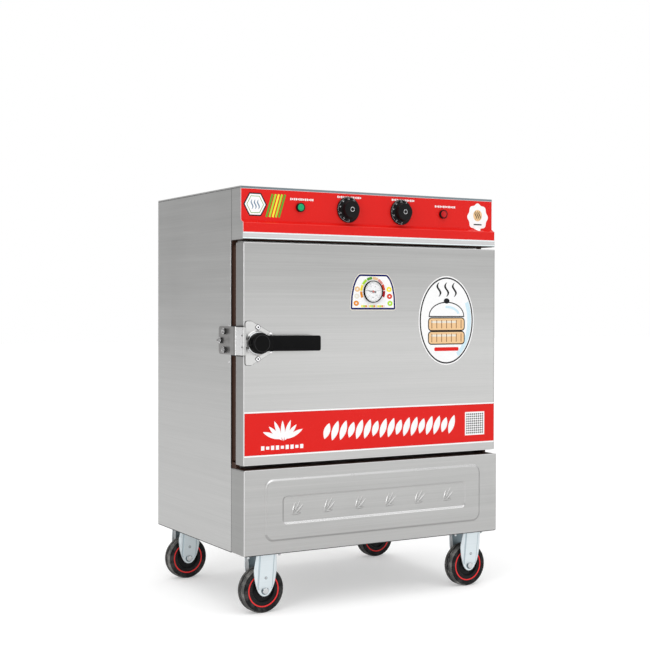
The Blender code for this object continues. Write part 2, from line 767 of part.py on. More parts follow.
def water_tank(finishes, root):
    outside = boxes(((-TANK_SIDE, TANK_FRONT_PLACE, TANK_LOW), (TANK_SIDE, TANK_BACK, TANK_TOP)))
    tank = put("water_tank", outside, root, finishes["bright"])
    inside_low = (-TANK_SIDE + TANK_SHEET, TANK_FRONT_PLACE + TANK_SHEET, TANK_FLOOR)
    inside_high = (TANK_SIDE - TANK_SHEET, TANK_BACK - TANK_SHEET, TANK_TOP + OVERRUN)
    cut(tank, boxes((inside_low, inside_high)))
    front = TANK_BACK - TANK_SHEET - OVERRUN
    rear = TANK_BACK + OVERRUN
    holes = [
        rod("Y", (DRAIN_X, DRAIN_Z), PIPE_RADIUS + FIT_GAP, front, rear, ROUND_STEPS),
        rod("Y", (FLOAT_X, FLOAT_Z), VALVE_RADIUS + FIT_GAP, front, rear, ROUND_STEPS),
    ]
    for run in (0, ELEMENT_RUNS - 1):
        place = element_run_place(run)
        holes.append(rod("Y", (place, ELEMENT_Z), ELEMENT_RADIUS + 2 * FIT_GAP, front, rear))
    return cut(tank, together(*holes))


def tank_grid(finishes, root):
    front = TANK_FRONT_PLACE + GRID_FRONT_GAP
    rear = TANK_BACK
    plate = boxes(((-TANK_SIDE, front, GRID_LOW), (TANK_SIDE, rear, GRID_HIGH)))
    grid = put("tank_grid", plate, root, finishes["bright"])
    column = (2 * TANK_SIDE - GRID_BORDER) / GRID_COLUMNS
    row = (rear - front - GRID_BORDER) / GRID_ROWS
    slots = []
    for i in range(GRID_COLUMNS):
        start = -TANK_SIDE + GRID_BORDER + i * column
        for j in range(GRID_ROWS):
            middle = front + GRID_BORDER / 2 + (j + 0.5) * row
            slot_low = (start, middle - GRID_SLOT_WIDTH / 2, GRID_LOW - OVERRUN)
            slot_high = (start + column - GRID_BORDER, middle + GRID_SLOT_WIDTH / 2, GRID_HIGH + OVERRUN)
            slots.append((slot_low, slot_high))
    return cut(grid, boxes(*slots))


def tray_rack(name, side, finishes, root):
    """Two uprights against a chamber wall and the runners that carry the trays' edges."""
    wall = side * (CHAMBER_SIDE - LINER_SHEET - FIT_GAP)
    upright = side * (CHAMBER_SIDE - LINER_SHEET - FIT_GAP - UPRIGHT_THICKNESS)
    reach = upright - side * RUNNER_REACH
    front = FRAME_BACK + UPRIGHT_MARGIN
    rear = CHAMBER_BACK - UPRIGHT_MARGIN
    low = GRID_HIGH + RACK_FOOT_GAP
    high = CHAMBER_CEILING - FIT_GAP
    posts = []
    for start in (front, rear - UPRIGHT_WIDTH):
        ends = (min(wall, upright), max(wall, upright))
        posts.append(((ends[0], start, low), (ends[1], start + UPRIGHT_WIDTH, high)))
    rack = put(name, boxes(posts[0]), root, finishes["bright"])
    runners = [posts[1]]
    overlap = upright + side * UPRIGHT_THICKNESS / 2
    ends = (min(overlap, reach), max(overlap, reach))
    for level in range(RACK_LEVELS):
        place = RACK_LOW + level * RACK_PITCH
        start = front - UPRIGHT_MARGIN / 2
        runner_high = (ends[1], rear + UPRIGHT_MARGIN / 2, place)
        runners.append(((ends[0], start, place - RUNNER_THICKNESS), runner_high))
    return join(rack, boxes(*runners))


def element_run_place(run):
    return ELEMENT_LEFT + 2 * ELEMENT_TURN * run


def heating_element(finishes, root):
    """A tube bent to and fro over the tank's floor, with both ends through its back wall."""
    front = TANK_FRONT_PLACE + ELEMENT_FRONT_CLEARANCE
    rear = TANK_BACK - ELEMENT_REAR_CLEARANCE
    end = TANK_BACK + ELEMENT_END_REACH
    points = [(element_run_place(0), end)]
    for run in range(ELEMENT_RUNS - 1):
        forward = run % 2 == 0
        middle = element_run_place(run) + ELEMENT_TURN
        for step in range(ELEMENT_ARC_STEPS + 1):
            angle = math.pi * (1 - step / ELEMENT_ARC_STEPS)
            bow = ELEMENT_TURN * math.sin(angle)
            place = front - bow if forward else rear + bow
            points.append((middle + ELEMENT_TURN * math.cos(angle), place))
    points.append((element_run_place(ELEMENT_RUNS - 1), end))
    curve = bpy.data.curves.new("heating_element", "CURVE")
    curve.dimensions = "3D"
    curve.bevel_depth = ELEMENT_RADIUS
    curve.bevel_resolution = 2
    curve.use_fill_caps = True
    spline = curve.splines.new("POLY")
    spline.points.add(len(points) - 1)
    for spot, (x, y) in zip(spline.points, points):
        spot.co = (x, y, ELEMENT_Z, 1.0)
    curve.materials.append(finishes["bright"])
    obj = bpy.data.objects.new("heating_element", curve)
    bpy.context.scene.collection.objects.link(obj)
    obj.parent = root
    obj.location = -Vector(root["place"])
    return obj


def float_valve(finishes, root, arm_pivot):
    inner = TANK_BACK - TANK_SHEET - VALVE_INNER_REACH
    nut = BACK + FIT_GAP
    centre = (FLOAT_X, FLOAT_Z)
    profile = (
        (0, inner),
        (VALVE_RADIUS, inner),
        (VALVE_RADIUS, nut),
        (VALVE_NUT_RADIUS, nut),
        (VALVE_NUT_RADIUS, nut + VALVE_NUT_LENGTH),
        (VALVE_RADIUS, nut + VALVE_NUT_LENGTH),
        (VALVE_RADIUS, BACK + VALVE_OUTER_REACH),
        (0, BACK + VALVE_OUTER_REACH),
    )
    body = put("float_valve_body", turned("Y", centre, profile, ROUND_STEPS), root, finishes["brass"])
    half = FLOAT_EYE_LENGTH / 2
    cheek = half + FIT_GAP + FLOAT_CHEEK
    fork = []
    for start in (-cheek, half + FIT_GAP):
        low = (FLOAT_X + start, FLOAT_PIVOT_Y - FLOAT_EYE_RADIUS, FLOAT_Z - FLOAT_EYE_RADIUS)
        high = (low[0] + FLOAT_CHEEK, inner + VALVE_INNER_REACH / 2, FLOAT_Z + FLOAT_EYE_RADIUS)
        fork.append((low, high))
    pivot_place = (FLOAT_PIVOT_Y, FLOAT_Z)
    inset = FLOAT_CHEEK / 2 - cheek
    pin = rod("X", pivot_place, FLOAT_PIN_RADIUS, FLOAT_X + inset, FLOAT_X - inset)
    smooth(join(body, together(boxes(*fork), pin)))
    slope = math.radians(FLOAT_SLOPE)
    direction = Vector((0, -math.cos(slope), -math.sin(slope)))
    eye = Vector((FLOAT_X, FLOAT_PIVOT_Y, FLOAT_Z))
    turn = direction.to_track_quat("Z", "Y").to_matrix().to_4x4()

    def rod_and_ball(work):
        bmesh.ops.create_cone(
            work,
            cap_ends=True,
            segments=SMALL_STEPS,
            radius1=FLOAT_ARM_RADIUS,
            radius2=FLOAT_ARM_RADIUS,
            depth=FLOAT_ARM_LENGTH,
            matrix=Matrix.Translation(eye + direction * FLOAT_ARM_LENGTH / 2) @ turn,
        )
        bmesh.ops.create_uvsphere(
            work,
            u_segments=ROUND_STEPS,
            v_segments=SMALL_STEPS,
            radius=FLOAT_RADIUS,
            matrix=Matrix.Translation(eye + direction * FLOAT_ARM_LENGTH) @ turn,
        )

    ring = rod("X", pivot_place, FLOAT_EYE_RADIUS, FLOAT_X - half, FLOAT_X + half)
    arm = join(put("float_arm", ring, arm_pivot, finishes["float"]), rod_and_ball)
    bore = FLOAT_PIN_RADIUS + FIT_GAP
    cut(arm, rod("X", pivot_place, bore, FLOAT_X - 2 * half, FLOAT_X + 2 * half))
    return smooth(arm)


def fascia_profile(offset, top, bottom):
    """The fascia's front line, top to bottom, moved forward by offset."""
    face = FASCIA_SET_BACK - offset
    lip = LIP_FACE - offset
    return [(face, top), (face, LEDGE_TOP), (lip, LIP_TOP), (lip, bottom)]


def control_holes(radius_lamp, radius_shaft, start, end):
    holes = []
    for place in (-LAMP_X, LAMP_X):
        holes.append(rod("Y", (place, CONTROL_Z), radius_lamp, start, end, ROUND_STEPS))
    for place in (KNOB_LEFT_PLACE, KNOB_RIGHT_PLACE):
        holes.append(rod("Y", (place, CONTROL_Z), radius_shaft, start, end, ROUND_STEPS))
    return together(*holes)


def fascia(finishes, root):
    rear = SEAM - FIT_GAP
    outline = fascia_profile(0, FASCIA_TOP, FASCIA_LOW)
    outline += [(rear, FASCIA_LOW), (rear, FASCIA_TOP)]
    panel = put("fascia_panel", prism("X", outline, -SIDE, SIDE), root, finishes["steel"])
    hollow = fascia_profile(-SHEET, FASCIA_TOP - SHEET, FASCIA_LOW + SHEET)
    hollow += [(rear + OVERRUN, FASCIA_LOW + SHEET), (rear + OVERRUN, FASCIA_TOP - SHEET)]
    cut(panel, prism("X", hollow, -SIDE + SHEET, SIDE - SHEET))
    start = FASCIA_SET_BACK - OVERRUN
    end = FASCIA_SET_BACK + SHEET + OVERRUN
    lamp_hole = LAMP_BARREL_RADIUS + FIT_GAP
    shaft_hole = SHAFT_RADIUS + SHAFT_CLEARANCE
    cut(panel, control_holes(lamp_hole, shaft_hole, start, end))
    top = FASCIA_TOP - FASCIA_BARE_RIM
    bottom = FASCIA_LOW + STRIP_HEIGHT
    front = fascia_profile(FIT_GAP + OVERLAY_THICKNESS, top, bottom)
    skin = front + fascia_profile(FIT_GAP, top, bottom)[::-1]
    side = SIDE - OVERLAY_SIDE_RIM
    overlay = put("fascia_overlay", prism("X", skin, -side, side), root, finishes["red"])
    cut(overlay, control_holes(lamp_hole, shaft_hole, start, end))


def lamp(name, place, lens_finish, finishes, root):
    face = FASCIA_SET_BACK - FIT_GAP - OVERLAY_THICKNESS - FIT_GAP
    front = face - LAMP_PROUD
    seat = front + LENS_SEAT
    bore = LENS_RADIUS + FIT_GAP
    rear = face + LAMP_BARREL_LENGTH
    centre = (place, CONTROL_Z)
    profile = (
        (0, seat),
        (bore, seat),
        (bore, front),
        (LAMP_RADIUS, front),
        (LAMP_RADIUS, face),
        (LAMP_BARREL_RADIUS, face),
        (LAMP_BARREL_RADIUS, rear),
        (0, rear),
    )
    bezel = turned("Y", centre, profile, ROUND_STEPS)
    smooth(put(f"{name}_bezel", bezel, root, finishes["black"]))
    tip = front - LENS_PROUD
    lens_profile = (
        (0, tip),
        (LENS_RADIUS * LENS_CROWN_SHARE, tip + LENS_PROUD * LENS_SHOULDER_SHARE),
        (LENS_RADIUS, front),
        (LENS_RADIUS, seat - FIT_GAP),
        (0, seat - FIT_GAP),
    )
    lens = turned("Y", centre, lens_profile, ROUND_STEPS)
    smooth(put(f"{name}_lens", lens, root, finishes[lens_finish]))


def knob(name, place, finishes, rider):
    back = FASCIA_SET_BACK - FIT_GAP - OVERLAY_THICKNESS - KNOB_STAND_OFF
    skirt = back - SKIRT_THICKNESS
    front = FASCIA_SET_BACK - KNOB_PROUD
    ring_in = KNOB_RING_RADIUS - KNOB_RING_WALL
    profile = (
        (0, front),
        (ring_in, front),
        (ring_in, front - KNOB_RING_PROUD),
        (KNOB_RING_RADIUS, front - KNOB_RING_PROUD),
        (KNOB_RING_RADIUS, front),
        (CAP_RADIUS - CAP_EDGE, front),
        (CAP_RADIUS, front + CAP_EDGE),
        (CAP_RADIUS, skirt - SKIRT_BEVEL),
        (SKIRT_RADIUS - SKIRT_BEVEL, skirt - SKIRT_BEVEL / 2),
        (SKIRT_RADIUS, skirt + SKIRT_BEVEL / 2),
        (SKIRT_RADIUS, back),
        (SHAFT_RADIUS, back),
        (SHAFT_RADIUS, back + SHAFT_LENGTH),
        (0, back + SHAFT_LENGTH),
    )
    shape = turned("Y", (place, CONTROL_Z), profile, KNOB_STEPS)
    return smooth(put(name, shape, rider, finishes["black"]))


def control_body(name, place, finishes, root):
    """The switch works behind the fascia, with the bore that the knob's shaft turns in."""
    front = FASCIA_SET_BACK + SHEET + FIT_GAP
    low = (place - CONTROL_BODY_WIDTH / 2, front, CONTROL_Z - CONTROL_BODY_HEIGHT / 2)
    high = (
        place + CONTROL_BODY_WIDTH / 2,
        front + CONTROL_BODY_DEPTH,
        CONTROL_Z + CONTROL_BODY_HEIGHT / 2,
    )
    body = put(name, boxes((low, high)), root, finishes["black"])
    shaft_end = FASCIA_SET_BACK + SHAFT_LENGTH + OVERRUN
    bore = SHAFT_RADIUS + FIT_GAP
    return cut(body, rod("Y", (place, CONTROL_Z), bore, front - OVERRUN, shaft_end, ROUND_STEPS))


def base_front_panel(finishes, root):
    rear = SEAM - FIT_GAP
    pan = boxes(((-SIDE, 0, LOW), (SIDE, rear, BASE_TOP)))
    panel = put("base_front_panel", pan, root, finishes["steel"])
    inner = SIDE - SHEET
    cavity_high = (inner, rear + OVERRUN, BASE_TOP - SHEET)
    open_floor_high = (inner, rear + OVERRUN, LOW + 2 * SHEET)
    cut(panel, boxes(((-inner, SHEET, LOW + SHEET), cavity_high)))
    cut(panel, boxes(((-inner, FLANGE, LOW - OVERRUN), open_floor_high)))

    outer = rectangle(-EMBOSS_SIDE, EMBOSS_LOW, EMBOSS_SIDE, EMBOSS_HIGH)
    recess = rectangle(-RECESS_SIDE, RECESS_LOW, RECESS_SIDE, RECESS_HIGH)

    def shrunk(corners, inset, corner):
        (low_u, low_v), (high_u, high_v) = corners[0], corners[2]
        smaller = rectangle(low_u + inset, low_v + inset, high_u - inset, high_v - inset)
        return rounded(smaller, corner)

    plateau = loft(
        "Y",
        (shrunk(outer, EMBOSS_RAMP, EMBOSS_CORNER), -EMBOSS_PROUD),
        (shrunk(outer, 0, EMBOSS_CORNER), 0),
        (shrunk(outer, 0, EMBOSS_CORNER), SHEET / 2),
    )
    join(panel, plateau)
    hollow = loft(
        "Y",
        (shrunk(outer, EMBOSS_RAMP + SHEET, EMBOSS_CORNER), SHEET - EMBOSS_PROUD),
        (shrunk(outer, SHEET, EMBOSS_CORNER), SHEET + OVERRUN),
    )
    cut(panel, hollow)
    floor = RECESS_DEPTH - EMBOSS_PROUD
    dish = loft(
        "Y",
        (shrunk(recess, -EMBOSS_RAMP / 2 - SHEET, RECESS_CORNER), SHEET / 2 - EMBOSS_PROUD),
        (shrunk(recess, -SHEET, RECESS_CORNER), floor + SHEET),
    )
    join(panel, dish)
    well = loft(
        "Y",
        (shrunk(recess, -EMBOSS_RAMP / 2, RECESS_CORNER), -EMBOSS_PROUD - OVERRUN),
        (shrunk(recess, -EMBOSS_RAMP / 2, RECESS_CORNER), -EMBOSS_PROUD),
        (shrunk(recess, EMBOSS_RAMP / 2, RECESS_CORNER), floor),
    )
    cut(panel, well)
    middle = (RECESS_LOW + RECESS_HIGH) / 2
    motifs = []
    for i in range(MOTIF_COUNT):
        place = (i - (MOTIF_COUNT - 1) / 2) * MOTIF_PITCH
        grain = grain_outline(place, middle, 0)
        motifs.append(
            loft(
                "Y",
                (grain_outline(place, middle, MOTIF_RAMP), floor - MOTIF_PROUD),
                (grain, floor),
                (grain, floor + SHEET / 2),
            )
        )
    return join(panel, together(*motifs))


def grain_outline(middle_u, middle_v, inset):
    """A pointed oval, like a husk, as a raised ornament."""
    half_width = MOTIF_WIDTH / 2 - inset
    half_height = MOTIF_HEIGHT / 2 - inset
    outline = []
    for i in range(SMALL_STEPS):
        angle = i * math.tau / SMALL_STEPS
        lift = math.sin(angle) * abs(math.sin(angle)) ** MOTIF_ROUNDNESS_SHARE
        outline.append((middle_u + half_width * math.cos(angle), middle_v + half_height * lift))
    return outline


def door_shell(finishes, door):
    low = (DOOR_LEFT, DOOR_FRONT, DOOR_LOW)
    skin = put("door_skin", boxes((low, (DOOR_RIGHT, DOOR_BACK, DOOR_HIGH))), door, finishes["steel"])
    cavity_low = (DOOR_LEFT + SHEET, DOOR_FRONT + SHEET, DOOR_LOW + SHEET)
    cavity_high = (DOOR_RIGHT - SHEET, DOOR_BACK + OVERRUN, DOOR_HIGH - SHEET)
    cut(skin, boxes((cavity_low, cavity_high)))
    spindle_end = DOOR_FRONT + SPINDLE_DEPTH + FIT_GAP
    probe = PROBE_RADIUS + FIT_GAP
    spindle = SPINDLE_RADIUS + FIT_GAP
    dial = (DIAL_PLACE, DIAL_Z)
    hub = (LATCH_X, LATCH_Z)
    start = DOOR_FRONT - OVERRUN
    end = DOOR_FRONT + SHEET + OVERRUN
    cut(
        skin,
        together(
            rod("Y", dial, probe, start, end, ROUND_STEPS),
            rod("Y", hub, spindle, start, end, ROUND_STEPS),
        ),
    )
    inset = SHEET + FIT_GAP
    liner_front = DOOR_BACK - LINER_SHEET
    liner_low = (DOOR_LEFT + inset, liner_front, DOOR_LOW + inset)
    liner_high = (DOOR_RIGHT - inset, DOOR_BACK, DOOR_HIGH - inset)
    liner = put("door_liner", boxes((liner_low, liner_high)), door, finishes["bright"])
    cut(liner, rod("Y", dial, probe, liner_front - OVERRUN, DOOR_BACK + OVERRUN, ROUND_STEPS))
    foam_low = (DOOR_LEFT + inset, DOOR_FRONT + inset, DOOR_LOW + inset)
    foam_high = (DOOR_RIGHT - inset, liner_front - FIT_GAP, DOOR_HIGH - inset)
    foam = put("door_insulation", boxes((foam_low, foam_high)), door, finishes["foam"])
    cut(
        foam,
        together(
            rod("Y", dial, probe, start, DOOR_BACK, ROUND_STEPS),
            rod("Y", hub, spindle, start, spindle_end, ROUND_STEPS),
        ),
    )


def door_gasket(finishes, door):
    outside = rectangle(
        DOOR_LEFT + GASKET_INSET,
        DOOR_LOW + GASKET_INSET,
        DOOR_RIGHT - GASKET_INSET,
        DOOR_HIGH - GASKET_INSET,
    )
    inset = GASKET_INSET + GASKET_WIDTH
    inside = rectangle(DOOR_LEFT + inset, DOOR_LOW + inset, DOOR_RIGHT - inset, DOOR_HIGH - inset)
    start = DOOR_BACK + FIT_GAP
    end = SEAM - FIT_GAP
    ring = put(
        "door_gasket",
        prism("Y", rounded(outside, GASKET_CORNER), start, end),
        door,
        finishes["gasket"],
    )
    return cut(ring, prism("Y", rounded(inside, GASKET_CORNER), start - OVERRUN, end + OVERRUN))


def hinge(name, middle_z, finishes, root, door):
    """A lift-off hinge: the lower knuckle holds the pin, the upper one turns on it."""
    low = middle_z - HINGE_HEIGHT / 2
    high = middle_z + HINGE_HEIGHT / 2
    lower_top = middle_z - FIT_GAP / 2
    upper_low = middle_z + FIT_GAP / 2
    face = SIDE + FIT_GAP
    leaf_front = SEAM + HINGE_LEAF_MARGIN
    centre = (HINGE_X, HINGE_Y)
    leaf = put(
        f"{name}_frame_leaf",
        boxes(((face, leaf_front, low), (face + HINGE_LEAF, leaf_front + HINGE_LEAF_LENGTH, high))),
        root,
        finishes["bright"],
    )
    arm_low = (face, HINGE_Y, low)
    arm_high = (face + HINGE_LEAF, leaf_front + HINGE_LEAF, lower_top)
    pin_top = high - KNUCKLE_STAND_OFF
    join(
        leaf,
        together(
            boxes((arm_low, arm_high)),
            rod("Z", centre, KNUCKLE_RADIUS, low, lower_top, ROUND_STEPS),
            rod("Z", centre, HINGE_PIN_RADIUS, low + HINGE_LEAF, pin_top, ROUND_STEPS),
        ),
    )
    plate_face = DOOR_RIGHT + FIT_GAP
    plate_back = DOOR_BACK - FIT_GAP
    door_leaf = put(
        f"{name}_door_leaf",
        boxes(
            (
                (plate_face, plate_back - HINGE_DOOR_LEAF_LENGTH, low),
                (plate_face + HINGE_LEAF, plate_back, high),
            )
        ),
        door,
        finishes["bright"],
    )
    web_low = (plate_face, plate_back - HINGE_LEAF, upper_low)
    web_high = (plate_face + HINGE_LEAF, HINGE_Y, high)
    tongue_low = (plate_face, HINGE_Y - HINGE_WEB / 2, upper_low)
    tongue_high = (HINGE_X, HINGE_Y + HINGE_WEB / 2, high)
    join(
        door_leaf,
        together(
            boxes((web_low, web_high), (tongue_low, tongue_high)),
            rod("Z", centre, KNUCKLE_RADIUS, upper_low, high, ROUND_STEPS),
        ),
    )
    bore = HINGE_PIN_RADIUS + HINGE_PIN_CLEARANCE
    cut(door_leaf, rod("Z", centre, bore, low - OVERRUN, high + OVERRUN, ROUND_STEPS))


def latch_plate(finishes, door):
    left = -SIDE + LATCH_PLATE_LEFT
    half = LATCH_PLATE_HEIGHT / 2
    flat = left + LATCH_PLATE_WIDTH * LATCH_PLATE_FLAT_SHARE
    right = left + LATCH_PLATE_WIDTH
    end_half = half * LATCH_PLATE_END_SHARE
    shield = rounded(
        (
            (left, LATCH_Z - half),
            (flat, LATCH_Z - half),
            (right, LATCH_Z - end_half),
            (right, LATCH_Z + end_half),
            (flat, LATCH_Z + half),
            (left, LATCH_Z + half),
        ),
        LATCH_PLATE_CORNER,
    )
    back = DOOR_FRONT - FIT_GAP
    plate = put(
        "latch_plate", prism("Y", shield, LATCH_PLATE_FACE, back), door, finishes["bright"]
    )
    root = LATCH_PLATE_FACE + LATCH_PLATE_THICKNESS / 2
    boss = (
        (0, BOSS_FACE),
        (BOSS_TOP_RADIUS, BOSS_FACE),
        (BOSS_BASE_RADIUS, LATCH_PLATE_FACE),
        (BOSS_BASE_RADIUS, root),
        (0, root),
    )
    raised = [turned("Y", (LATCH_X, LATCH_Z), boss, KNOB_STEPS)]
    for share_u, share_v in LATCH_SCREW_SHARES:
        place = (left + share_u * LATCH_PLATE_WIDTH, LATCH_Z + share_v * LATCH_PLATE_HEIGHT)
        head = LATCH_PLATE_FACE - LATCH_SCREW_PROUD
        raised.append(rod("Y", place, LATCH_SCREW_RADIUS, head, root))
    join(plate, together(*raised))
    bore = SPINDLE_RADIUS + FIT_GAP
    start = BOSS_FACE - OVERRUN
    return cut(plate, rod("Y", (LATCH_X, LATCH_Z), bore, start, back + OVERRUN, ROUND_STEPS))


def latch_handle(finishes, handle):
    centre = (LATCH_X, LATCH_Z)
    hub_profile = (
        (0, HUB_FRONT),
        (HUB_FACE_RADIUS, HUB_FRONT),
        (HUB_RADIUS, HUB_FRONT + HUB_SHOULDER),
        (HUB_RADIUS, HUB_BACK),
        (0, HUB_BACK),
    )
    grip = put("latch_handle", turned("Y", centre, hub_profile, KNOB_STEPS), handle, finishes["black"])
    half = LEVER_HEIGHT / 2
    front = HUB_FRONT + LEVER_FACE_DROP
    back = front + LEVER_THICKNESS

    def face(inset):
        right = LATCH_X + LEVER_REACH - inset
        corners = rectangle(LATCH_X, LATCH_Z - half + inset, right, LATCH_Z + half - inset)
        return rounded(corners, LEVER_CORNER)

    lever = loft(
        "Y",
        (face(LEVER_EDGE), front),
        (face(0), front + LEVER_EDGE),
        (face(0), back - LEVER_EDGE),
        (face(LEVER_EDGE), back),
    )
    join(grip, lever)
    return smooth(grip)


def latch_cam(finishes, handle):
    """The spindle and the tongue that lies behind the keeper's strike."""
    centre = (LATCH_X, LATCH_Z)
    end = DOOR_FRONT + SPINDLE_DEPTH
    cam = put(
        "latch_cam",
        rod("Y", centre, SPINDLE_RADIUS, CAM_FRONT, end, ROUND_STEPS),
        handle,
        finishes["bright"],
    )
    half = CAM_WIDTH / 2
    corners = rectangle(CAM_TIP, LATCH_Z - half, LATCH_X + half, LATCH_Z + half)
    return join(cam, prism("Y", rounded(corners, half / 2), CAM_FRONT, CAM_BACK))


def latch_keeper(finishes, root):
    foot = KEEPER_FACE - KEEPER_SHEET / 2
    bridge = KEEPER_FACE - KEEPER_STAND_OFF + KEEPER_SHEET / 2
    lip = CAM_TIP - STRIKE_EDGE_CLEARANCE - KEEPER_SHEET / 2
    curl = (lip - bridge) / 2
    curl_y = DOOR_FRONT - KEEPER_CURL_PROUD + KEEPER_SHEET / 2 + curl
    line = [(foot, KEEPER_REAR), (foot, KEEPER_FOOT_FRONT), (bridge, KEEPER_JOGGLE_FRONT)]
    for step in range(CURL_STEPS + 1):
        angle = math.pi * step / CURL_STEPS
        line.append((bridge + curl - curl * math.cos(angle), curl_y - curl * math.sin(angle)))
    line.append((lip, STRIKE_BACK))
    low = KEEPER_Z - KEEPER_HEIGHT / 2
    high = KEEPER_Z + KEEPER_HEIGHT / 2
    keeper = put(
        "latch_keeper", prism("Z", bent_strip(line, KEEPER_SHEET), low, high), root, finishes["bright"]
    )
    front = DOOR_FRONT - KEEPER_CURL_PROUD - OVERRUN - KEEPER_CORNER
    blank = rounded(rectangle(front, low, KEEPER_REAR, high), KEEPER_CORNER)
    trim(keeper, prism("X", blank, -SIDE_REACH - OVERRUN, -SIDE + OVERRUN))
    fixings = []
    nut_top = KEEPER_FACE - KEEPER_SHEET - KEEPER_NUT_LENGTH
    nut_foot = KEEPER_FACE - KEEPER_SHEET / 2
    for place_y, above in KEEPER_BOLT_PLACES:
        centre = (place_y, KEEPER_Z + above)
        fixings.append(rod("X", centre, KEEPER_NUT_RADIUS, nut_top, nut_foot, NUT_STEPS))
        fixings.append(rod("X", centre, KEEPER_BOLT_RADIUS, -SIDE_REACH, nut_foot))
    return join(keeper, together(*fixings))


def thermometer(finishes, door, needle_axis):
    centre = (DIAL_PLACE, DIAL_Z)
    seat = DIAL_FRONT + GLASS_RECESS
    profile = (
        (0, DIAL_FLOOR),
        (DIAL_CUP_RADIUS, DIAL_FLOOR),
        (DIAL_CUP_RADIUS, DIAL_FRONT),
        (DIAL_RADIUS - DIAL_RIM_BEVEL, DIAL_FRONT),
        (DIAL_RADIUS, DIAL_FRONT + DIAL_RIM_BEVEL),
        (DIAL_RADIUS, DIAL_BACK),
        (PROBE_RADIUS, DIAL_BACK),
        (PROBE_RADIUS, DIAL_BACK + PROBE_LENGTH),
        (0, DIAL_BACK + PROBE_LENGTH),
    )
    case = turned("Y", centre, profile, KNOB_STEPS)
    smooth(put("thermometer_case", case, door, finishes["black"]))
    radius = DIAL_CUP_RADIUS - FIT_GAP
    glass = rod("Y", centre, radius, seat, seat + GLASS_THICKNESS, KNOB_STEPS)
    smooth(put("thermometer_glass", glass, door, finishes["glass"]))
    needle_back = DIAL_FLOOR - FIT_GAP
    needle_front = needle_back - NEEDLE_THICKNESS
    hub = rod("Y", centre, NEEDLE_HUB_RADIUS, needle_front - NEEDLE_THICKNESS, needle_back)
    needle = put("thermometer_needle", hub, needle_axis, finishes["needle"])
    angle = math.radians(NEEDLE_REST_ANGLE)
    ahead = Vector((math.cos(angle), math.sin(angle)))
    across = Vector((-ahead.y, ahead.x))
    middle = Vector(centre)
    tip = ahead * DIAL_CUP_RADIUS * NEEDLE_REACH_SHARE
    tail = ahead * DIAL_CUP_RADIUS * -NEEDLE_TAIL_SHARE
    width = across * NEEDLE_HUB_RADIUS * NEEDLE_WIDTH_SHARE
    hand = [middle + tip, middle + width]
    hand += [middle + tail + width * NEEDLE_TAIL_WIDTH_SHARE]
    hand += [middle + tail - width * NEEDLE_TAIL_WIDTH_SHARE, middle - width]
    outline = [tuple(point) for point in hand]
    return join(needle, prism("Y", outline, needle_front, needle_back))


def drain_valve(finishes, root, lever_axis):
    centre = (DRAIN_X, DRAIN_Z)
    start = TANK_BACK - TANK_SHEET
    ball_start = BACK + DRAIN_BALL_STAND_OFF
    ball_end = ball_start + DRAIN_BALL_LENGTH
    end = BACK + REAR_REACH
    profile = (
        (0, start),
        (PIPE_RADIUS, start),
        (PIPE_RADIUS, ball_start),
        (DRAIN_BALL_RADIUS, ball_start),
        (DRAIN_BALL_RADIUS, ball_end),
        (PIPE_RADIUS, ball_end),
        (PIPE_RADIUS, end),
        (0, end),
    )
    body = put("drain_valve_body", turned("Y", centre, profile, ROUND_STEPS), root, finishes["brass"])
    stem_top = DRAIN_Z + DRAIN_BALL_RADIUS + STEM_HEIGHT
    pin_top = stem_top + FIT_GAP + DRAIN_LEVER_THICKNESS + DRAIN_PIN_HEIGHT
    stem = (DRAIN_X, DRAIN_BALL_MIDDLE)
    join(
        body,
        together(
            rod("Z", stem, STEM_RADIUS, DRAIN_Z, stem_top),
            rod("Z", stem, DRAIN_PIN_RADIUS, DRAIN_Z, pin_top),
        ),
    )
    cut(body, rod("Y", centre, PIPE_BORE_RADIUS, DRAIN_BALL_MIDDLE, end + OVERRUN, ROUND_STEPS))
    smooth(body)
    half = DRAIN_LEVER_WIDTH / 2
    low = stem_top + FIT_GAP
    corners = rectangle(
        DRAIN_X - half,
        DRAIN_BALL_MIDDLE - half,
        DRAIN_X + DRAIN_LEVER_LENGTH,
        DRAIN_BALL_MIDDLE + half,
    )
    plate = prism("Z", rounded(corners, half / 2), low, low + DRAIN_LEVER_THICKNESS)
    lever = put("drain_valve_lever", plate, lever_axis, finishes["red"])
    bore = DRAIN_PIN_RADIUS + FIT_GAP
    return cut(lever, rod("Z", stem, bore, low - OVERRUN, pin_top, ROUND_STEPS))


def cable_gland(finishes, root):
    nut = BACK + FIT_GAP
    dome = nut + GLAND_NUT_LENGTH
    tail = BACK - SHEET - GLAND_TAIL_LENGTH
    end = dome + GLAND_DOME_LENGTH
    profile = (
        (GLAND_BORE_RADIUS, tail),
        (GLAND_RADIUS, tail),
        (GLAND_RADIUS, nut),
        (GLAND_NUT_RADIUS, nut),
        (GLAND_NUT_RADIUS, dome),
        (GLAND_RADIUS, dome + GLAND_NUT_LENGTH),
        (GLAND_BORE_RADIUS + GLAND_MOUTH_WALL, end),
        (GLAND_BORE_RADIUS, end),
    )
    shape = turned("Y", (GLAND_X, GLAND_Z), profile, ROUND_STEPS, hollow=True)
    return smooth(put("cable_gland", shape, root, finishes["black"]))


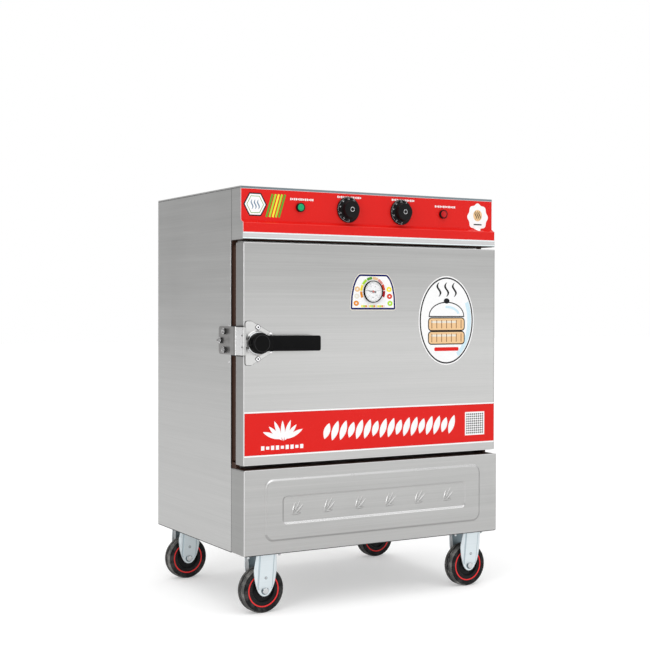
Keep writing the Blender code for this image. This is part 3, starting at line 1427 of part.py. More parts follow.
def steam_vent(finishes, root):
    start = CHAMBER_BACK - VENT_INNER_REACH
    flange = BACK + FIT_GAP
    end = BACK + VENT_REACH
    profile = (
        (VENT_BORE_RADIUS, start),
        (VENT_RADIUS, start),
        (VENT_RADIUS, flange),
        (VENT_FLANGE_RADIUS, flange),
        (VENT_FLANGE_RADIUS, flange + VENT_FLANGE_THICKNESS),
        (VENT_RADIUS, flange + VENT_FLANGE_THICKNESS),
        (VENT_RADIUS, end),
        (VENT_BORE_RADIUS, end),
    )
    shape = turned("Y", (0, VENT_Z), profile, ROUND_STEPS, hollow=True)
    return smooth(put("steam_vent", shape, root, finishes["bright"]))


def fork_leg_outline(place_x):
    """A leg from the side: upright to its shoulder, then drawn in to a round end below the axle."""
    half = FORK_LEG_LENGTH / 2
    top = CASTER_PLATE_LOW + CASTER_PLATE_THICKNESS / 2
    shoulder = CASTER_PLATE_LOW - FORK_SHOULDER_DROP
    reach = math.hypot(half, shoulder - AXLE_Z)
    tangent = math.atan2(half, shoulder - AXLE_Z) + math.acos(FORK_END_RADIUS / reach)
    sweep = math.tau - 2 * tangent
    outline = [(place_x - half, top), (place_x - half, shoulder)]
    for step in range(SMALL_STEPS + 1):
        angle = math.pi / 2 + tangent + sweep * step / SMALL_STEPS
        across = FORK_END_RADIUS * math.cos(angle)
        outline.append((place_x + across, AXLE_Z + FORK_END_RADIUS * math.sin(angle)))
    outline += [(place_x + half, shoulder), (place_x + half, top)]
    return outline


def caster_fork(name, place, finishes, root):
    x, y = place
    half = FORK_WIDTH / 2
    plate_half = CASTER_PLATE_LENGTH / 2
    low = CASTER_PLATE_LOW
    plate_low = (x - plate_half, y - half, low)
    plate_high = (x + plate_half, y + half, CASTER_PLATE_HIGH)
    fork = put(f"caster_fork_{name}", boxes((plate_low, plate_high)), root, finishes["zinc"])
    leg = fork_leg_outline(x)
    rib_half = FORK_RIB_WIDTH / 2
    rib = rounded(
        rectangle(x - rib_half, AXLE_Z - rib_half / 2, x + rib_half, low - FORK_RIB_DROP),
        rib_half / 2,
    )
    shapes = []
    for side in (-1, 1):
        outer = y + side * half
        inner = outer - side * FORK_SHEET
        shapes.append(prism("Y", leg, min(outer, inner), max(outer, inner)))
        proud = outer + side * FORK_RIB_PROUD
        middle = (outer + inner) / 2
        shapes.append(prism("Y", rib, min(proud, middle), max(proud, middle)))
        for across in (-CASTER_BOLT_SPREAD, CASTER_BOLT_SPREAD):
            bolt = (x + across, y + side * (half - CASTER_BOLT_MARGIN))
            nut_low = low - CASTER_NUT_LENGTH
            shapes.append(
                rod("Z", bolt, CASTER_NUT_RADIUS, nut_low, low + FORK_RIB_PROUD, NUT_STEPS)
            )
    head = half + FORK_RIB_PROUD + AXLE_HEAD_LENGTH
    profile = (
        (0, y - head),
        (AXLE_HEAD_RADIUS, y - head),
        (AXLE_HEAD_RADIUS, y - half),
        (AXLE_RADIUS, y - half + FORK_SHEET / 2),
        (AXLE_RADIUS, y + half - FORK_SHEET / 2),
        (AXLE_HEAD_RADIUS, y + half),
        (AXLE_HEAD_RADIUS, y + head),
        (0, y + head),
    )
    shapes.append(turned("Y", (x, AXLE_Z), profile, SMALL_STEPS))
    return join(fork, together(*shapes))


def caster_wheel(name, place, finishes, axis):
    x, y = place
    centre = (x, AXLE_Z)
    half = TYRE_WIDTH / 2
    side = [(TYRE_INNER_RADIUS, half - TYRE_SEAT_INSET), (RING_OUTER_RADIUS, half)]
    for drop_share, inset_share in TYRE_SHOULDER_SHARES:
        radius = WHEEL_RADIUS - TYRE_SHOULDER * drop_share
        side.append((radius, half - TYRE_SHOULDER * inset_share))
    tyre_profile = [(radius, y - along) for radius, along in side]
    tyre_profile += [(radius, y + along) for radius, along in reversed(side)]
    tyre = turned("Y", centre, tyre_profile, WHEEL_STEPS, hollow=True)
    smooth(put(f"tyre_{name}", tyre, axis, finishes["rubber"]))
    rim = TYRE_INNER_RADIUS - FIT_GAP
    bore = AXLE_RADIUS + AXLE_CLEARANCE
    hub_half = FORK_WIDTH / 2 - FORK_SHEET - CORE_SIDE_GAP
    rim_half = half - TYRE_SEAT_INSET
    core_profile = (
        (bore, y - hub_half),
        (CORE_HUB_RADIUS, y - hub_half),
        (CORE_HUB_RADIUS, y - CORE_WEB_WIDTH / 2),
        (rim - CORE_RIM, y - CORE_WEB_WIDTH / 2),
        (rim - CORE_RIM, y - rim_half),
        (rim, y - rim_half),
        (rim, y + rim_half),
        (rim - CORE_RIM, y + rim_half),
        (rim - CORE_RIM, y + CORE_WEB_WIDTH / 2),
        (CORE_HUB_RADIUS, y + CORE_WEB_WIDTH / 2),
        (CORE_HUB_RADIUS, y + hub_half),
        (bore, y + hub_half),
    )
    core = turned("Y", centre, core_profile, WHEEL_STEPS, hollow=True)
    smooth(put(f"wheel_core_{name}", core, axis, finishes["black"]))


def make_cabinet():
    clear_scene()
    finishes = make_finishes()
    root = pivot("cabinet_frame", (0, 0, 0))
    door = pivot("door_axis", (HINGE_X, HINGE_Y, 0), root)
    handle = pivot("latch_axis", (LATCH_X, HUB_BACK, LATCH_Z), door)
    needle_axis = pivot("needle_axis", (DIAL_PLACE, DIAL_FLOOR, DIAL_Z), door)
    lever_axis = pivot("drain_lever_axis", (DRAIN_X, DRAIN_BALL_MIDDLE, DRAIN_Z), root)
    arm_pivot = pivot("float_arm_axis", (FLOAT_X, FLOAT_PIVOT_Y, FLOAT_Z), root)

    side_panel("side_panel_left", -1, finishes, root)
    side_panel("side_panel_right", 1, finishes, root)
    back_panel(finishes, root)
    top_panel(finishes, root)
    base_plate(finishes, root)
    front_frame(finishes, root)
    chamber_walls(finishes, root)
    insulation_jacket(finishes, root)
    water_tank(finishes, root)
    tank_grid(finishes, root)
    tray_rack("tray_rack_left", -1, finishes, root)
    tray_rack("tray_rack_right", 1, finishes, root)
    heating_element(finishes, root)
    float_valve(finishes, root, arm_pivot)
    fascia(finishes, root)
    lamp("lamp_heating", -LAMP_X, "green_lens", finishes, root)
    lamp("lamp_power", LAMP_X, "red_lens", finishes, root)
    for name, place in (("thermostat", KNOB_LEFT_PLACE), ("timer", KNOB_RIGHT_PLACE)):
        axis = pivot(f"knob_{name}_axis", (place, FASCIA_SET_BACK, CONTROL_Z), root)
        knob(f"knob_{name}", place, finishes, axis)
        control_body(f"{name}_body", place, finishes, root)
    base_front_panel(finishes, root)
    latch_keeper(finishes, root)
    drain_valve(finishes, root, lever_axis)
    cable_gland(finishes, root)
    steam_vent(finishes, root)

    door_shell(finishes, door)
    door_gasket(finishes, door)
    latch_plate(finishes, door)
    latch_handle(finishes, handle)
    latch_cam(finishes, handle)
    thermometer(finishes, door, needle_axis)
    reach = HINGE_END_MARGIN + HINGE_HEIGHT / 2
    hinge("hinge_upper", DOOR_HIGH - reach, finishes, root, door)
    hinge("hinge_lower", DOOR_LOW + reach, finishes, root, door)

    for name, place in CASTERS.items():
        axis = pivot(f"wheel_axis_{name}", (place[0], place[1], AXLE_Z), root)
        caster_fork(name, place, finishes, root)
        caster_wheel(name, place, finishes, axis)


make_cabinet()
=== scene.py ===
import json
import math

import bmesh
import bpy
from mathutils import Matrix, Vector


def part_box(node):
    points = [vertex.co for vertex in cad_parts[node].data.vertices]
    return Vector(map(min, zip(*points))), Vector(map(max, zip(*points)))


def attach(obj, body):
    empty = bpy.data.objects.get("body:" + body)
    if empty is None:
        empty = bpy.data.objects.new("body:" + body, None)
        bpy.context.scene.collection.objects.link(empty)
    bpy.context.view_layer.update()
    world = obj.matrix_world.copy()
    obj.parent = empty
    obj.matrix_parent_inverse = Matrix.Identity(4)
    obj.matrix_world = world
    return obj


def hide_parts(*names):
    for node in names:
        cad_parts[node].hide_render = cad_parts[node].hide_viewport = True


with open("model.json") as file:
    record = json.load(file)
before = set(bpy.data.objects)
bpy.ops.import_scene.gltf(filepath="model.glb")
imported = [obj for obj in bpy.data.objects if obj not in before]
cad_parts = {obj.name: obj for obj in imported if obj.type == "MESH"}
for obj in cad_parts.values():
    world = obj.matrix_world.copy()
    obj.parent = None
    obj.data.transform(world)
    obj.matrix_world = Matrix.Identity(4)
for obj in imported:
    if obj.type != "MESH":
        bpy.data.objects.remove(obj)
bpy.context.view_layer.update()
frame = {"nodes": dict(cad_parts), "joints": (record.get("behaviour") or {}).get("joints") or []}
print("frame loaded:", len(frame["nodes"]), "CAD nodes")

scene = bpy.context.scene
nodes = frame["nodes"]
finishes = bpy.data.materials
axisAt = {joint["name"]: Vector(joint["pos_m"]) for joint in frame["joints"]}
doorLow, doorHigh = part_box("door_skin")
sideLow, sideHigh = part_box("side_panel_left")
topLow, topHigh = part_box("top_panel")
baseLow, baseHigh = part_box("base_front_panel")
keeperLow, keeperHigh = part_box("latch_keeper")
overlayLow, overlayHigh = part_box("fascia_overlay")
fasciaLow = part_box("fascia_panel")[0]
bodyLeft = sideLow.x
bodyRight = -bodyLeft
bodyLow = sideLow.z
seam = sideLow.y  # where the front sheets meet the sides
doorFace = doorLow.y


# Camera

cameraSet = {
    "place": (-1.5816, -2.74425, 0.6931),  # where the photographer stood, metres
    "yaw": 30.035,  # degrees to the right of straight on
    "pitch": 0.803,  # degrees down
    "roll": 0.125,
    "lens": 69.355,
}


def adjust(thing, **settings):
    for label, value in settings.items():
        setattr(thing, label, value)
    return thing


def place(name, data, **settings):  # puts an object into the scene
    holder = adjust(bpy.data.objects.new(name, data), **settings)
    scene.collection.objects.link(holder)
    return holder


def makeCamera():
    yaw, pitch, roll = (math.radians(cameraSet[k]) for k in ("yaw", "pitch", "roll"))
    ahead = Vector((math.sin(yaw) * math.cos(pitch), math.cos(yaw) * math.cos(pitch), -math.sin(pitch)))
    level = Vector((math.cos(yaw), -math.sin(yaw), 0))
    upright = level.cross(ahead)
    right = level * math.cos(roll) + upright * math.sin(roll)
    up = upright * math.cos(roll) - level * math.sin(roll)
    turn = Matrix((right, up, -ahead)).transposed().to_4x4()
    camera = adjust(bpy.data.cameras.new("camera"), lens=cameraSet["lens"], clip_end=50)
    scene.camera = place("camera", camera, matrix_world=Matrix.Translation(cameraSet["place"]) @ turn)


makeCamera()
scene.view_settings.view_transform = "Standard"
print("camera set")


# Room: a pale floor, a white surround and soft lamps

roomSet = {
    "floorHalf": 20.0,
    "floorColour": (0.80, 0.80, 0.80),
    "floorGlow": 0.30,  # what the camera sees on top of the lit floor
    "surroundLevel": 0.67,
    "flags": (  # dark cards that only reflections show: towards, from, to, how dark
        ((-0.50, 0.866, 0.0), 0.10, 0.95, 0.34),
        ((0.90, 0.43, 0.10), 0.80, 0.98, 0.55),
        ((-0.26, -0.96, 0.10), 0.90, 0.99, 0.40),
        ((0.50, -0.866, 0.0), 0.40, 1.00, 0.26),
    ),
    "lamps": {  # place, size, power
        "edgeLamp": ((-3.4, -2.1, 1.5), 1.5, 34.0),
        "fillLamp": ((2.6, -3.9, 0.7), 4.5, 41.0),
    },
    "lampAim": (0, 0, 0.5),
    "sunStrength": 1.12,
    "sunTowards": (0.12, 0.30, -1.0),
    "sunSpread": 70.0,  # degrees
}


def addNode(tree, kind, inputs={}, **settings):  # inputs by name or number: a value or a link
    node = adjust(tree.nodes.new("ShaderNode" + kind), **settings)
    for label, value in inputs.items():
        socket = node.inputs[label]
        if isinstance(value, bpy.types.NodeSocket):
            tree.links.new(value, socket)
        else:
            socket.default_value = (*value, 1) if socket.type == "RGBA" else value
    return node


def addMath(tree, operation, *values, clamp=False):
    return addNode(tree, "Math", dict(enumerate(values)), operation=operation, use_clamp=clamp).outputs[0]


def blendRays(tree, target, unseen, seen):  # the second shader for camera, glossy and see-through rays
    rays = addNode(tree, "LightPath")
    level = 0.0
    for kind in ("Camera", "Glossy", "Transmission"):
        level = addMath(tree, "MAXIMUM", level, rays.outputs[f"Is {kind} Ray"])
    mix = addNode(tree, "MixShader", {0: level, 1: unseen.outputs[0], 2: seen.outputs[0]})
    tree.links.new(mix.outputs[0], tree.nodes[target].inputs["Surface"])


def flagged(tree):  # white, less the dark cards where a reflection looks
    dark = 0.0
    towards = addNode(tree, "TexCoord").outputs["Generated"]
    for direction, start, end, depth in roomSet["flags"]:
        along = addNode(tree, "VectorMath", {0: towards, 1: direction}, operation="DOT_PRODUCT")
        fade = {"Value": along.outputs["Value"], "From Min": start, "From Max": end, "To Max": depth}
        card = addNode(tree, "MapRange", fade, interpolation_type="SMOOTHSTEP")
        dark = addMath(tree, "ADD", dark, card.outputs["Result"])
    glossy = addNode(tree, "LightPath").outputs["Is Glossy Ray"]
    return addMath(tree, "SUBTRACT", 1.0, addMath(tree, "MULTIPLY", dark, glossy))


def makeSurround():
    scene.world = adjust(bpy.data.worlds.new("studio"), use_nodes=True)
    tree = scene.world.node_tree
    tree.nodes.remove(tree.nodes["Background"])
    plain = addNode(tree, "Background", {"Color": (1, 1, 1), "Strength": roomSet["surroundLevel"]})
    white = addNode(tree, "Background", {"Color": (1, 1, 1), "Strength": flagged(tree)})
    blendRays(tree, "World Output", plain, white)


def makeFloor():
    half = roomSet["floorHalf"]
    mesh = bpy.data.meshes.new("floor")
    corners = [(-half, -half, 0), (half, -half, 0), (half, half, 0), (-half, half, 0)]
    mesh.from_pydata(corners, [], [(0, 1, 2, 3)])
    material = adjust(finishes.new("floorPaint"), use_nodes=True)
    tree = material.node_tree
    tree.nodes.remove(tree.nodes["Principled BSDF"])
    paint = addNode(tree, "BsdfDiffuse", {"Color": roomSet["floorColour"]})
    glow = addNode(tree, "Emission", {"Strength": roomSet["floorGlow"]})
    both = addNode(tree, "AddShader", {0: paint.outputs[0], 1: glow.outputs[0]})
    blendRays(tree, "Material Output", paint, both)
    mesh.materials.append(material)
    place("floor", mesh)


def makeLamp(name, kind, towards, location=(0, 0, 0), **settings):
    lamp = adjust(bpy.data.lights.new(name, kind), **settings)
    turn = Vector(towards).to_track_quat("-Z", "Y")
    place(name, lamp, location=location, rotation_mode="QUATERNION", rotation_quaternion=turn)


makeSurround()
makeFloor()
for lampName, (lampPlace, lampSize, power) in roomSet["lamps"].items():
    aim = Vector(roomSet["lampAim"]) - Vector(lampPlace)
    makeLamp(lampName, "AREA", aim, lampPlace, shape="SQUARE", size=lampSize, energy=power)
spread = math.radians(roomSet["sunSpread"])  # wide, so that the floor keeps one tone out to its edge
makeLamp("overhead", "SUN", roomSet["sunTowards"], energy=roomSet["sunStrength"], angle=spread)
print("room made")


# Shader groups: effects that several finishes share

def newGroup(name, **inputs):
    group = bpy.data.node_groups.new(name, "ShaderNodeTree")
    for label, value in inputs.items():
        kind = "Color" if isinstance(value, tuple) else "Float"
        socket = group.interface.new_socket(name=label, in_out="INPUT", socket_type="NodeSocket" + kind)
        socket.default_value = (*value, 1) if kind == "Color" else value
    for label, kind in (("Colour", "Color"), ("Roughness", "Float"), ("Height", "Float")):
        group.interface.new_socket(name=label, in_out="OUTPUT", socket_type="NodeSocket" + kind)
    return group, group.nodes.new("NodeGroupInput").outputs


def giveOut(group, **values):
    out = group.nodes.new("NodeGroupOutput")
    for label, value in values.items():
        group.links.new(value, out.inputs[label])
    return group


def addNoise(tree, vector, scale, detail=3.0, roughness=0.55):
    inputs = {"Vector": vector, "Scale": scale, "Detail": detail, "Roughness": roughness}
    return addNode(tree, "TexNoise", inputs).outputs["Fac"]


def swung(tree, value, amount):  # a 0 to 1 value as a swing either way
    return addMath(tree, "MULTIPLY", addMath(tree, "SUBTRACT", value, 0.5), amount)


def stretched(tree, vector, factors):
    return addNode(tree, "VectorMath", {0: vector, 1: factors}, operation="MULTIPLY").outputs[0]


def scaled(tree, colour, gain):
    return addNode(tree, "VectorMath", {0: colour, "Scale": gain}, operation="SCALE").outputs[0]


def makeBrushGroup():  # long scratches along the sheet, with broad bands of tone, and painted shade towards the top where asked
    group, given = newGroup("brushedSheet", Colour=(0.5, 0.5, 0.5), Roughness=0.35, Streaks=0.12, Fade=0.0)
    coords = addNode(group, "TexCoord").outputs
    facing = addNode(group, "SeparateXYZ", {0: addNode(group, "NewGeometry").outputs["Normal"]})
    level = addMath(group, "GREATER_THAN", addMath(group, "ABSOLUTE", facing.outputs["Z"]), 0.7)
    upright = stretched(group, coords["Object"], (3.0, 3.0, 520.0))
    flat = stretched(group, coords["Object"], (3.0, 520.0, 3.0))
    lines = addNode(group, "Mix", {0: level, 4: upright, 5: flat}, data_type="VECTOR").outputs[1]
    fine = addNoise(group, lines, 1.0, 4.0, 0.7)
    bands = addNoise(group, stretched(group, lines, (0.4, 0.4, 0.12)), 1.0, 2.0)
    parts = addMath(group, "MULTIPLY", fine, 0.6), addMath(group, "MULTIPLY", bands, 0.4)
    swing = addMath(group, "MULTIPLY", swung(group, addMath(group, "ADD", *parts), given["Streaks"]), 4.0)
    haze = swung(group, addNoise(group, coords["Object"], 5.0), 0.10)
    height = addNode(group, "SeparateXYZ", {0: coords["Generated"]}).outputs["Z"]
    ramp = {"Value": height, "From Min": 0.45}
    fade = addNode(group, "MapRange", ramp, interpolation_type="SMOOTHSTEP").outputs["Result"]
    kept = addMath(group, "SUBTRACT", 1.0, addMath(group, "MULTIPLY", fade, given["Fade"]))  # painted shade: darker towards the top
    gain = addMath(group, "ADD", addMath(group, "ADD", swing, haze), kept)
    dull = addMath(group, "ADD", given["Roughness"], addMath(group, "MULTIPLY", swing, 0.5))
    dull = addMath(group, "ADD", dull, haze, clamp=True)
    return giveOut(group, Colour=scaled(group, given["Colour"], gain), Roughness=dull, Height=fine)


def makeGrainGroup():  # the fine texture of moulded plastic and rubber, with rubbed patches
    group, given = newGroup("mouldedGrain", Colour=(0.02, 0.02, 0.02), Worn=(0.08, 0.08, 0.08),
                            Roughness=0.4, Scale=900.0, Wear=0.2)
    spots = addNode(group, "TexCoord").outputs["Object"]
    grain = addNoise(group, spots, given["Scale"], 2.0, 0.5)
    patches = addNoise(group, spots, 38.0, 5.0, 0.7)
    rubbed = addMath(group, "SUBTRACT", patches, 0.48, clamp=True)
    rubbed = addMath(group, "MULTIPLY", rubbed, 4.0, clamp=True)
    rubbed = addMath(group, "MULTIPLY", rubbed, given["Wear"])
    colours = {0: rubbed, 6: given["Colour"], 7: given["Worn"]}
    colour = addNode(group, "Mix", colours, data_type="RGBA").outputs[2]
    dull = addMath(group, "ADD", given["Roughness"], addMath(group, "MULTIPLY", rubbed, 0.25))
    dull = addMath(group, "ADD", dull, swung(group, patches, 0.08))
    return giveOut(group, Colour=colour, Roughness=dull, Height=grain)


def makeFilmGroup():  # printed film: slight mottle in the ink, faint waves where it was rubbed down
    group, given = newGroup("printedFilm", Colour=(0.8, 0.8, 0.8), Roughness=0.28, Mottle=0.06)
    spots = addNode(group, "TexCoord").outputs["Object"]
    swing = swung(group, addNoise(group, spots, 240.0, 2.0), given["Mottle"])
    swing = addMath(group, "ADD", swing, swung(group, addNoise(group, spots, 9.0), 0.05))
    colour = scaled(group, given["Colour"], addMath(group, "ADD", swing, 1.0))
    dull = addMath(group, "ADD", given["Roughness"], addMath(group, "MULTIPLY", swing, 0.8))
    return giveOut(group, Colour=colour, Roughness=dull, Height=addNoise(group, spots, 26.0, 2.0))


brushGroup = makeBrushGroup()
grainGroup = makeGrainGroup()
filmGroup = makeFilmGroup()

steels = {  # colour, roughness, streaks, bump, anisotropy, metallic, painted shade towards the top
    "panelSteel": ((0.46, 0.46, 0.455), 0.34, 0.12),
    "baseSteel": ((0.415, 0.415, 0.41), 0.34, 0.12),
    "shadeSteel": ((0.335, 0.335, 0.33), 0.34, 0.08),
    # the door's steel takes painted shade towards its top
    "doorSteel": ((0.445, 0.445, 0.44), 0.34, 0.12, 0.10, 0.5, 1.0, 0.22),
    "lidSteel": ((0.46, 0.46, 0.455), 0.34, 0.12, 0.10, 0.0),
    # a lighter copy of the sheet steel: painted highlight
    "edgeHighlightSteel": ((0.60, 0.60, 0.60), 0.28, 0.03, 0.02, 0.0),
    # a near-black copy of the steel: painted shade on the nuts
    "nutShadeSteel": ((0.07, 0.07, 0.07), 0.30, 0.03, 0.02, 0.0),
    # a darker copy of the sheet steel: painted shade on the keeper
    "keeperShadeSteel": ((0.24, 0.235, 0.23), 0.30, 0.10, 0.05, 0.2),
    # a dark copy of the steel: painted shade on the fork washers and dimple seats, and a painted dark
    # reflection on the lid's rim
    "rimShadeSteel": ((0.17, 0.21, 0.23), 0.30, 0.05),
    "linerSteel": ((0.56, 0.56, 0.56), 0.26, 0.06),
    "latchSteel": ((0.52, 0.52, 0.515), 0.32, 0.06, 0.05, 0.2),
    "screwSteel": ((0.78, 0.78, 0.79), 0.16, 0.03, 0.03, 0.0),
    "zincPlate": ((0.68, 0.75, 0.78), 0.32, 0.05, 0.05, 0.1, 0.5),
    "zincShade": ((0.46, 0.54, 0.58), 0.36, 0.05, 0.05, 0.1, 0.5),
    # a bright matt copy of the zinc: painted light on the forks' inner faces
    "zincInnerLit": ((0.94, 0.98, 1.0), 0.45, 0.03, 0.03, 0.0, 0.0),
    # a dark copy of the zinc: painted shade on the forks' inner faces
    "zincDeepShade": ((0.22, 0.28, 0.31), 0.40, 0.05, 0.03, 0.0, 0.5),
    "boltSteel": ((0.55, 0.57, 0.58), 0.28, 0.03, 0.03, 0.0),
    # a lighter copy of the sheet steel: painted highlight
    "foldHighlightSteel": ((0.72, 0.72, 0.72), 0.26, 0.03, 0.02, 0.0),
    # a darker copy of the sheet steel: painted shade on the side returns
    "returnShadeSteel": ((0.305, 0.305, 0.30), 0.36, 0.10),
    "brassMetal": ((0.66, 0.48, 0.20), 0.30, 0.06, 0.05, 0.0),
    "chromeMetal": ((0.62, 0.63, 0.64), 0.12, 0.02, 0.02, 0.0),
}
inks = {  # colour, roughness, other sockets
    "redFilm": ((0.715, 0.012, 0.009), 0.26, {"Coat Weight": 0.06, "Coat Roughness": 0.10}),
    "whiteFilm": ((0.92, 0.92, 0.92),),
    "creamFilm": ((0.80, 0.76, 0.66),),
    "silverFilm": ((0.61, 0.61, 0.615), 0.30),
    "paleFilm": ((0.84, 0.93, 0.94), 0.30),
    "glintFilm": ((0.86, 0.07, 0.06), 0.26),
    "navyInk": ((0.004, 0.007, 0.11), 0.32, {"Specular IOR Level": 0.04}),
    "slateInk": ((0.17, 0.25, 0.36),),
    "darkRedInk": ((0.42, 0.008, 0.010), 0.30),
    "orangeInk": ((0.78, 0.26, 0.02),),
    "yellowInk": ((0.92, 0.78, 0.06),),
    "greenInk": ((0.12, 0.36, 0.03),),
    "limeInk": ((0.42, 0.72, 0.05),),
    "tanInk": ((0.84, 0.56, 0.30),),
    "pinkInk": ((0.72, 0.28, 0.24),),
    "scarletInk": ((0.70, 0.06, 0.02),),
    "skyInk": ((0.62, 0.80, 0.88),),
    "brownInk": ((0.20, 0.06, 0.02),),
    "blackInk": ((0.010, 0.010, 0.012), 0.30),
    "dialPaper": ((0.93, 0.94, 0.95), 0.5),
    "scaleInk": ((0.40, 0.41, 0.43), 0.5),
    "markInk": ((0.80, 0.82, 0.84), 0.4),
    "needlePaint": ((0.02, 0.02, 0.022), 0.4),
    "dialGlass": ((0.97, 0.98, 0.98), 0.04, {"Alpha": 0.10, "Specular IOR Level": 0.5}),
}
dark = (0.07, 0.07, 0.07)
lensCoat = {"Coat Weight": 0.3, "Coat Roughness": 0.05}
plastics = {  # colour, roughness, colour where worn, wear, grain, bump, other sockets
    "blackPlastic": ((0.005, 0.005, 0.0055), 0.34, (0.02, 0.02, 0.02), 0.3),
    "gripPlastic": ((0.003, 0.003, 0.0033), 0.42, (0.01, 0.01, 0.01), 0.3, 1400, 0.12,
                    {"Specular IOR Level": 0.06}),
    # a lighter black plastic: painted highlight in the latch hub's groove
    "grooveHighlightPlastic": ((0.035, 0.035, 0.037), 0.36),
    "wheelPlastic": ((0.012, 0.012, 0.013), 0.40, dark, 0.2),
    "tyreRubber": ((0.011, 0.011, 0.012), 0.58, (0.16, 0.155, 0.15), 0.45, 500, 0.25),
    "treadRubber": ((0.095, 0.094, 0.091), 0.66, (0.40, 0.39, 0.37), 0.8, 420, 0.35),
    "ringPlastic": ((0.86, 0.045, 0.045), 0.36, (0.50, 0.02, 0.02), 0.3, 700, 0.08),
    "gasketRubber": ((0.046, 0.022, 0.015), 0.55, (0.05, 0.025, 0.016), 0.3, 600, 0.15),
    "seamShade": ((0.012, 0.012, 0.013), 0.6, dark, 0.1),
    "hemShade": ((0.040, 0.041, 0.043), 0.5, dark, 0.2),
    "foamBoard": ((0.78, 0.72, 0.50), 0.85, (0.70, 0.62, 0.40), 0.5, 320, 0.5),
    "floatPlastic": ((0.80, 0.80, 0.76), 0.42, (0.70, 0.68, 0.60), 0.3, 500, 0.08),
    "leverVinyl": ((0.62, 0.03, 0.02), 0.38, (0.40, 0.03, 0.02), 0.3, 600, 0.15),
    "greenLens": ((0.0, 0.36, 0.13), 0.14, (0.0, 0.45, 0.18), 0.3, 300, 0.03, lensCoat),
    "redLens": ((0.50, 0.0, 0.003), 0.14, (0.62, 0.01, 0.01), 0.3, 300, 0.03, lensCoat),
}


def newFinish(name, group, values, strength, distance, sockets):
    tree = adjust(finishes.new(name), use_nodes=True).node_tree
    shader = tree.nodes["Principled BSDF"]
    effect = addNode(tree, "Group", values, node_tree=group).outputs
    relief = {"Strength": strength, "Distance": distance, "Height": effect["Height"]}
    tree.links.new(effect["Colour"], shader.inputs["Base Color"])
    tree.links.new(effect["Roughness"], shader.inputs["Roughness"])
    tree.links.new(addNode(tree, "Bump", relief).outputs["Normal"], shader.inputs["Normal"])
    for label, value in sockets.items():
        shader.inputs[label].default_value = value


# fade sets how strongly painted shade darkens the steel towards its top
def newSteel(name, colour, roughness, streaks, bump=0.10, anisotropy=0.5, metal=1.0, fade=0.0):
    values = {"Colour": colour, "Roughness": roughness, "Streaks": streaks, "Fade": fade}
    newFinish(name, brushGroup, values, bump, 0.0002, {"Metallic": metal, "Anisotropic": anisotropy})


def newInk(name, colour, roughness=0.32, sockets={}):
    values = {"Colour": colour, "Roughness": roughness, "Mottle": 0.08}
    newFinish(name, filmGroup, values, 0.05, 0.0006, {"Specular IOR Level": 0.1, **sockets})


def newPlastic(name, colour, roughness, worn=dark, wear=0.15, scale=900, bump=0.12, sockets={}):
    values = {"Colour": colour, "Worn": worn, "Roughness": roughness, "Scale": scale, "Wear": wear}
    newFinish(name, grainGroup, values, bump, 0.0003, {"Specular IOR Level": 0.10, **sockets})


for makeFinish, table in ((newSteel, steels), (newInk, inks), (newPlastic, plastics)):
    for label, row in table.items():
        makeFinish(label, *row)
print("finishes made:", len(finishes))


# Shape tools

def spot(axis, first, second, along):  # a point from its place along an axis and across it
    if axis == "X":
        return (along, first, second)
    return (first, along, second) if axis == "Y" else (first, second, along)


def arcLine(middle, radiusU, radiusV, start, end, steps):  # degrees
    angles = [math.radians(start + (end - start) * i / steps) for i in range(steps + 1)]
    return [(middle[0] + radiusU * math.cos(a), middle[1] + radiusV * math.sin(a)) for a in angles]


def ovalLine(middle, halfWidth, halfHeight, steps=48):
    return arcLine(middle, halfWidth, halfHeight, 0, 360, steps)[:-1]


def oblong(lowU, lowV, highU, highV):
    return [(lowU, lowV), (highU, lowV), (highU, highV), (lowU, highV)]


def bar(start, end, width):  # a straight stroke as an outline
    along = (Vector(end) - Vector(start)).normalized()
    across = Vector((-along.y, along.x)) * width / 2
    return [tuple(Vector(p) + s * across) for p, s in ((start, -1), (end, -1), (end, 1), (start, 1))]


def arcStroke(centre, radiusU, radiusV, start, end, width):
    lines = [arcLine(centre, radiusU + w, radiusV + w, start, end, 18) for w in (width / 2, -width / 2)]
    return lines[0] + lines[1][::-1]


def grainLine(middle, length, width, turn):  # a pointed oval
    line = []
    steps = 10
    for i in range(2 * steps):
        share = (i % steps) / steps
        side = 1 if i < steps else -1
        u = (share - 0.5) * side * length
        v = math.sin(math.pi * share) ** 0.8 * side * -width / 2
        cos, sin = math.cos(turn), math.sin(turn)
        line.append((middle[0] + u * cos - v * sin, middle[1] + u * sin + v * cos))
    return line


def waveStroke(start, height, sway, width, steps=20):
    left, right = [], []
    for i in range(steps + 1):
        share = i / steps
        u = start[0] + sway * math.sin(math.tau * share)
        v = start[1] + height * share
        thick = width * (0.35 + 0.65 * math.sin(math.pi * share)) / 2
        left.append((u - thick, v))
        right.append((u + thick, v))
    return left + right[::-1]


def labelDashes(middle, height, width, tall, count):  # a bare row of marks where a label stands
    pitch = width / count
    dashes = []
    for i in range(count):
        start = middle - width / 2 + pitch * i
        half = tall * (0.72 if i % 3 == 1 else 1.0) / 2
        dashes.append(oblong(start, height - half, start + pitch * 0.66, height + half))
    return dashes


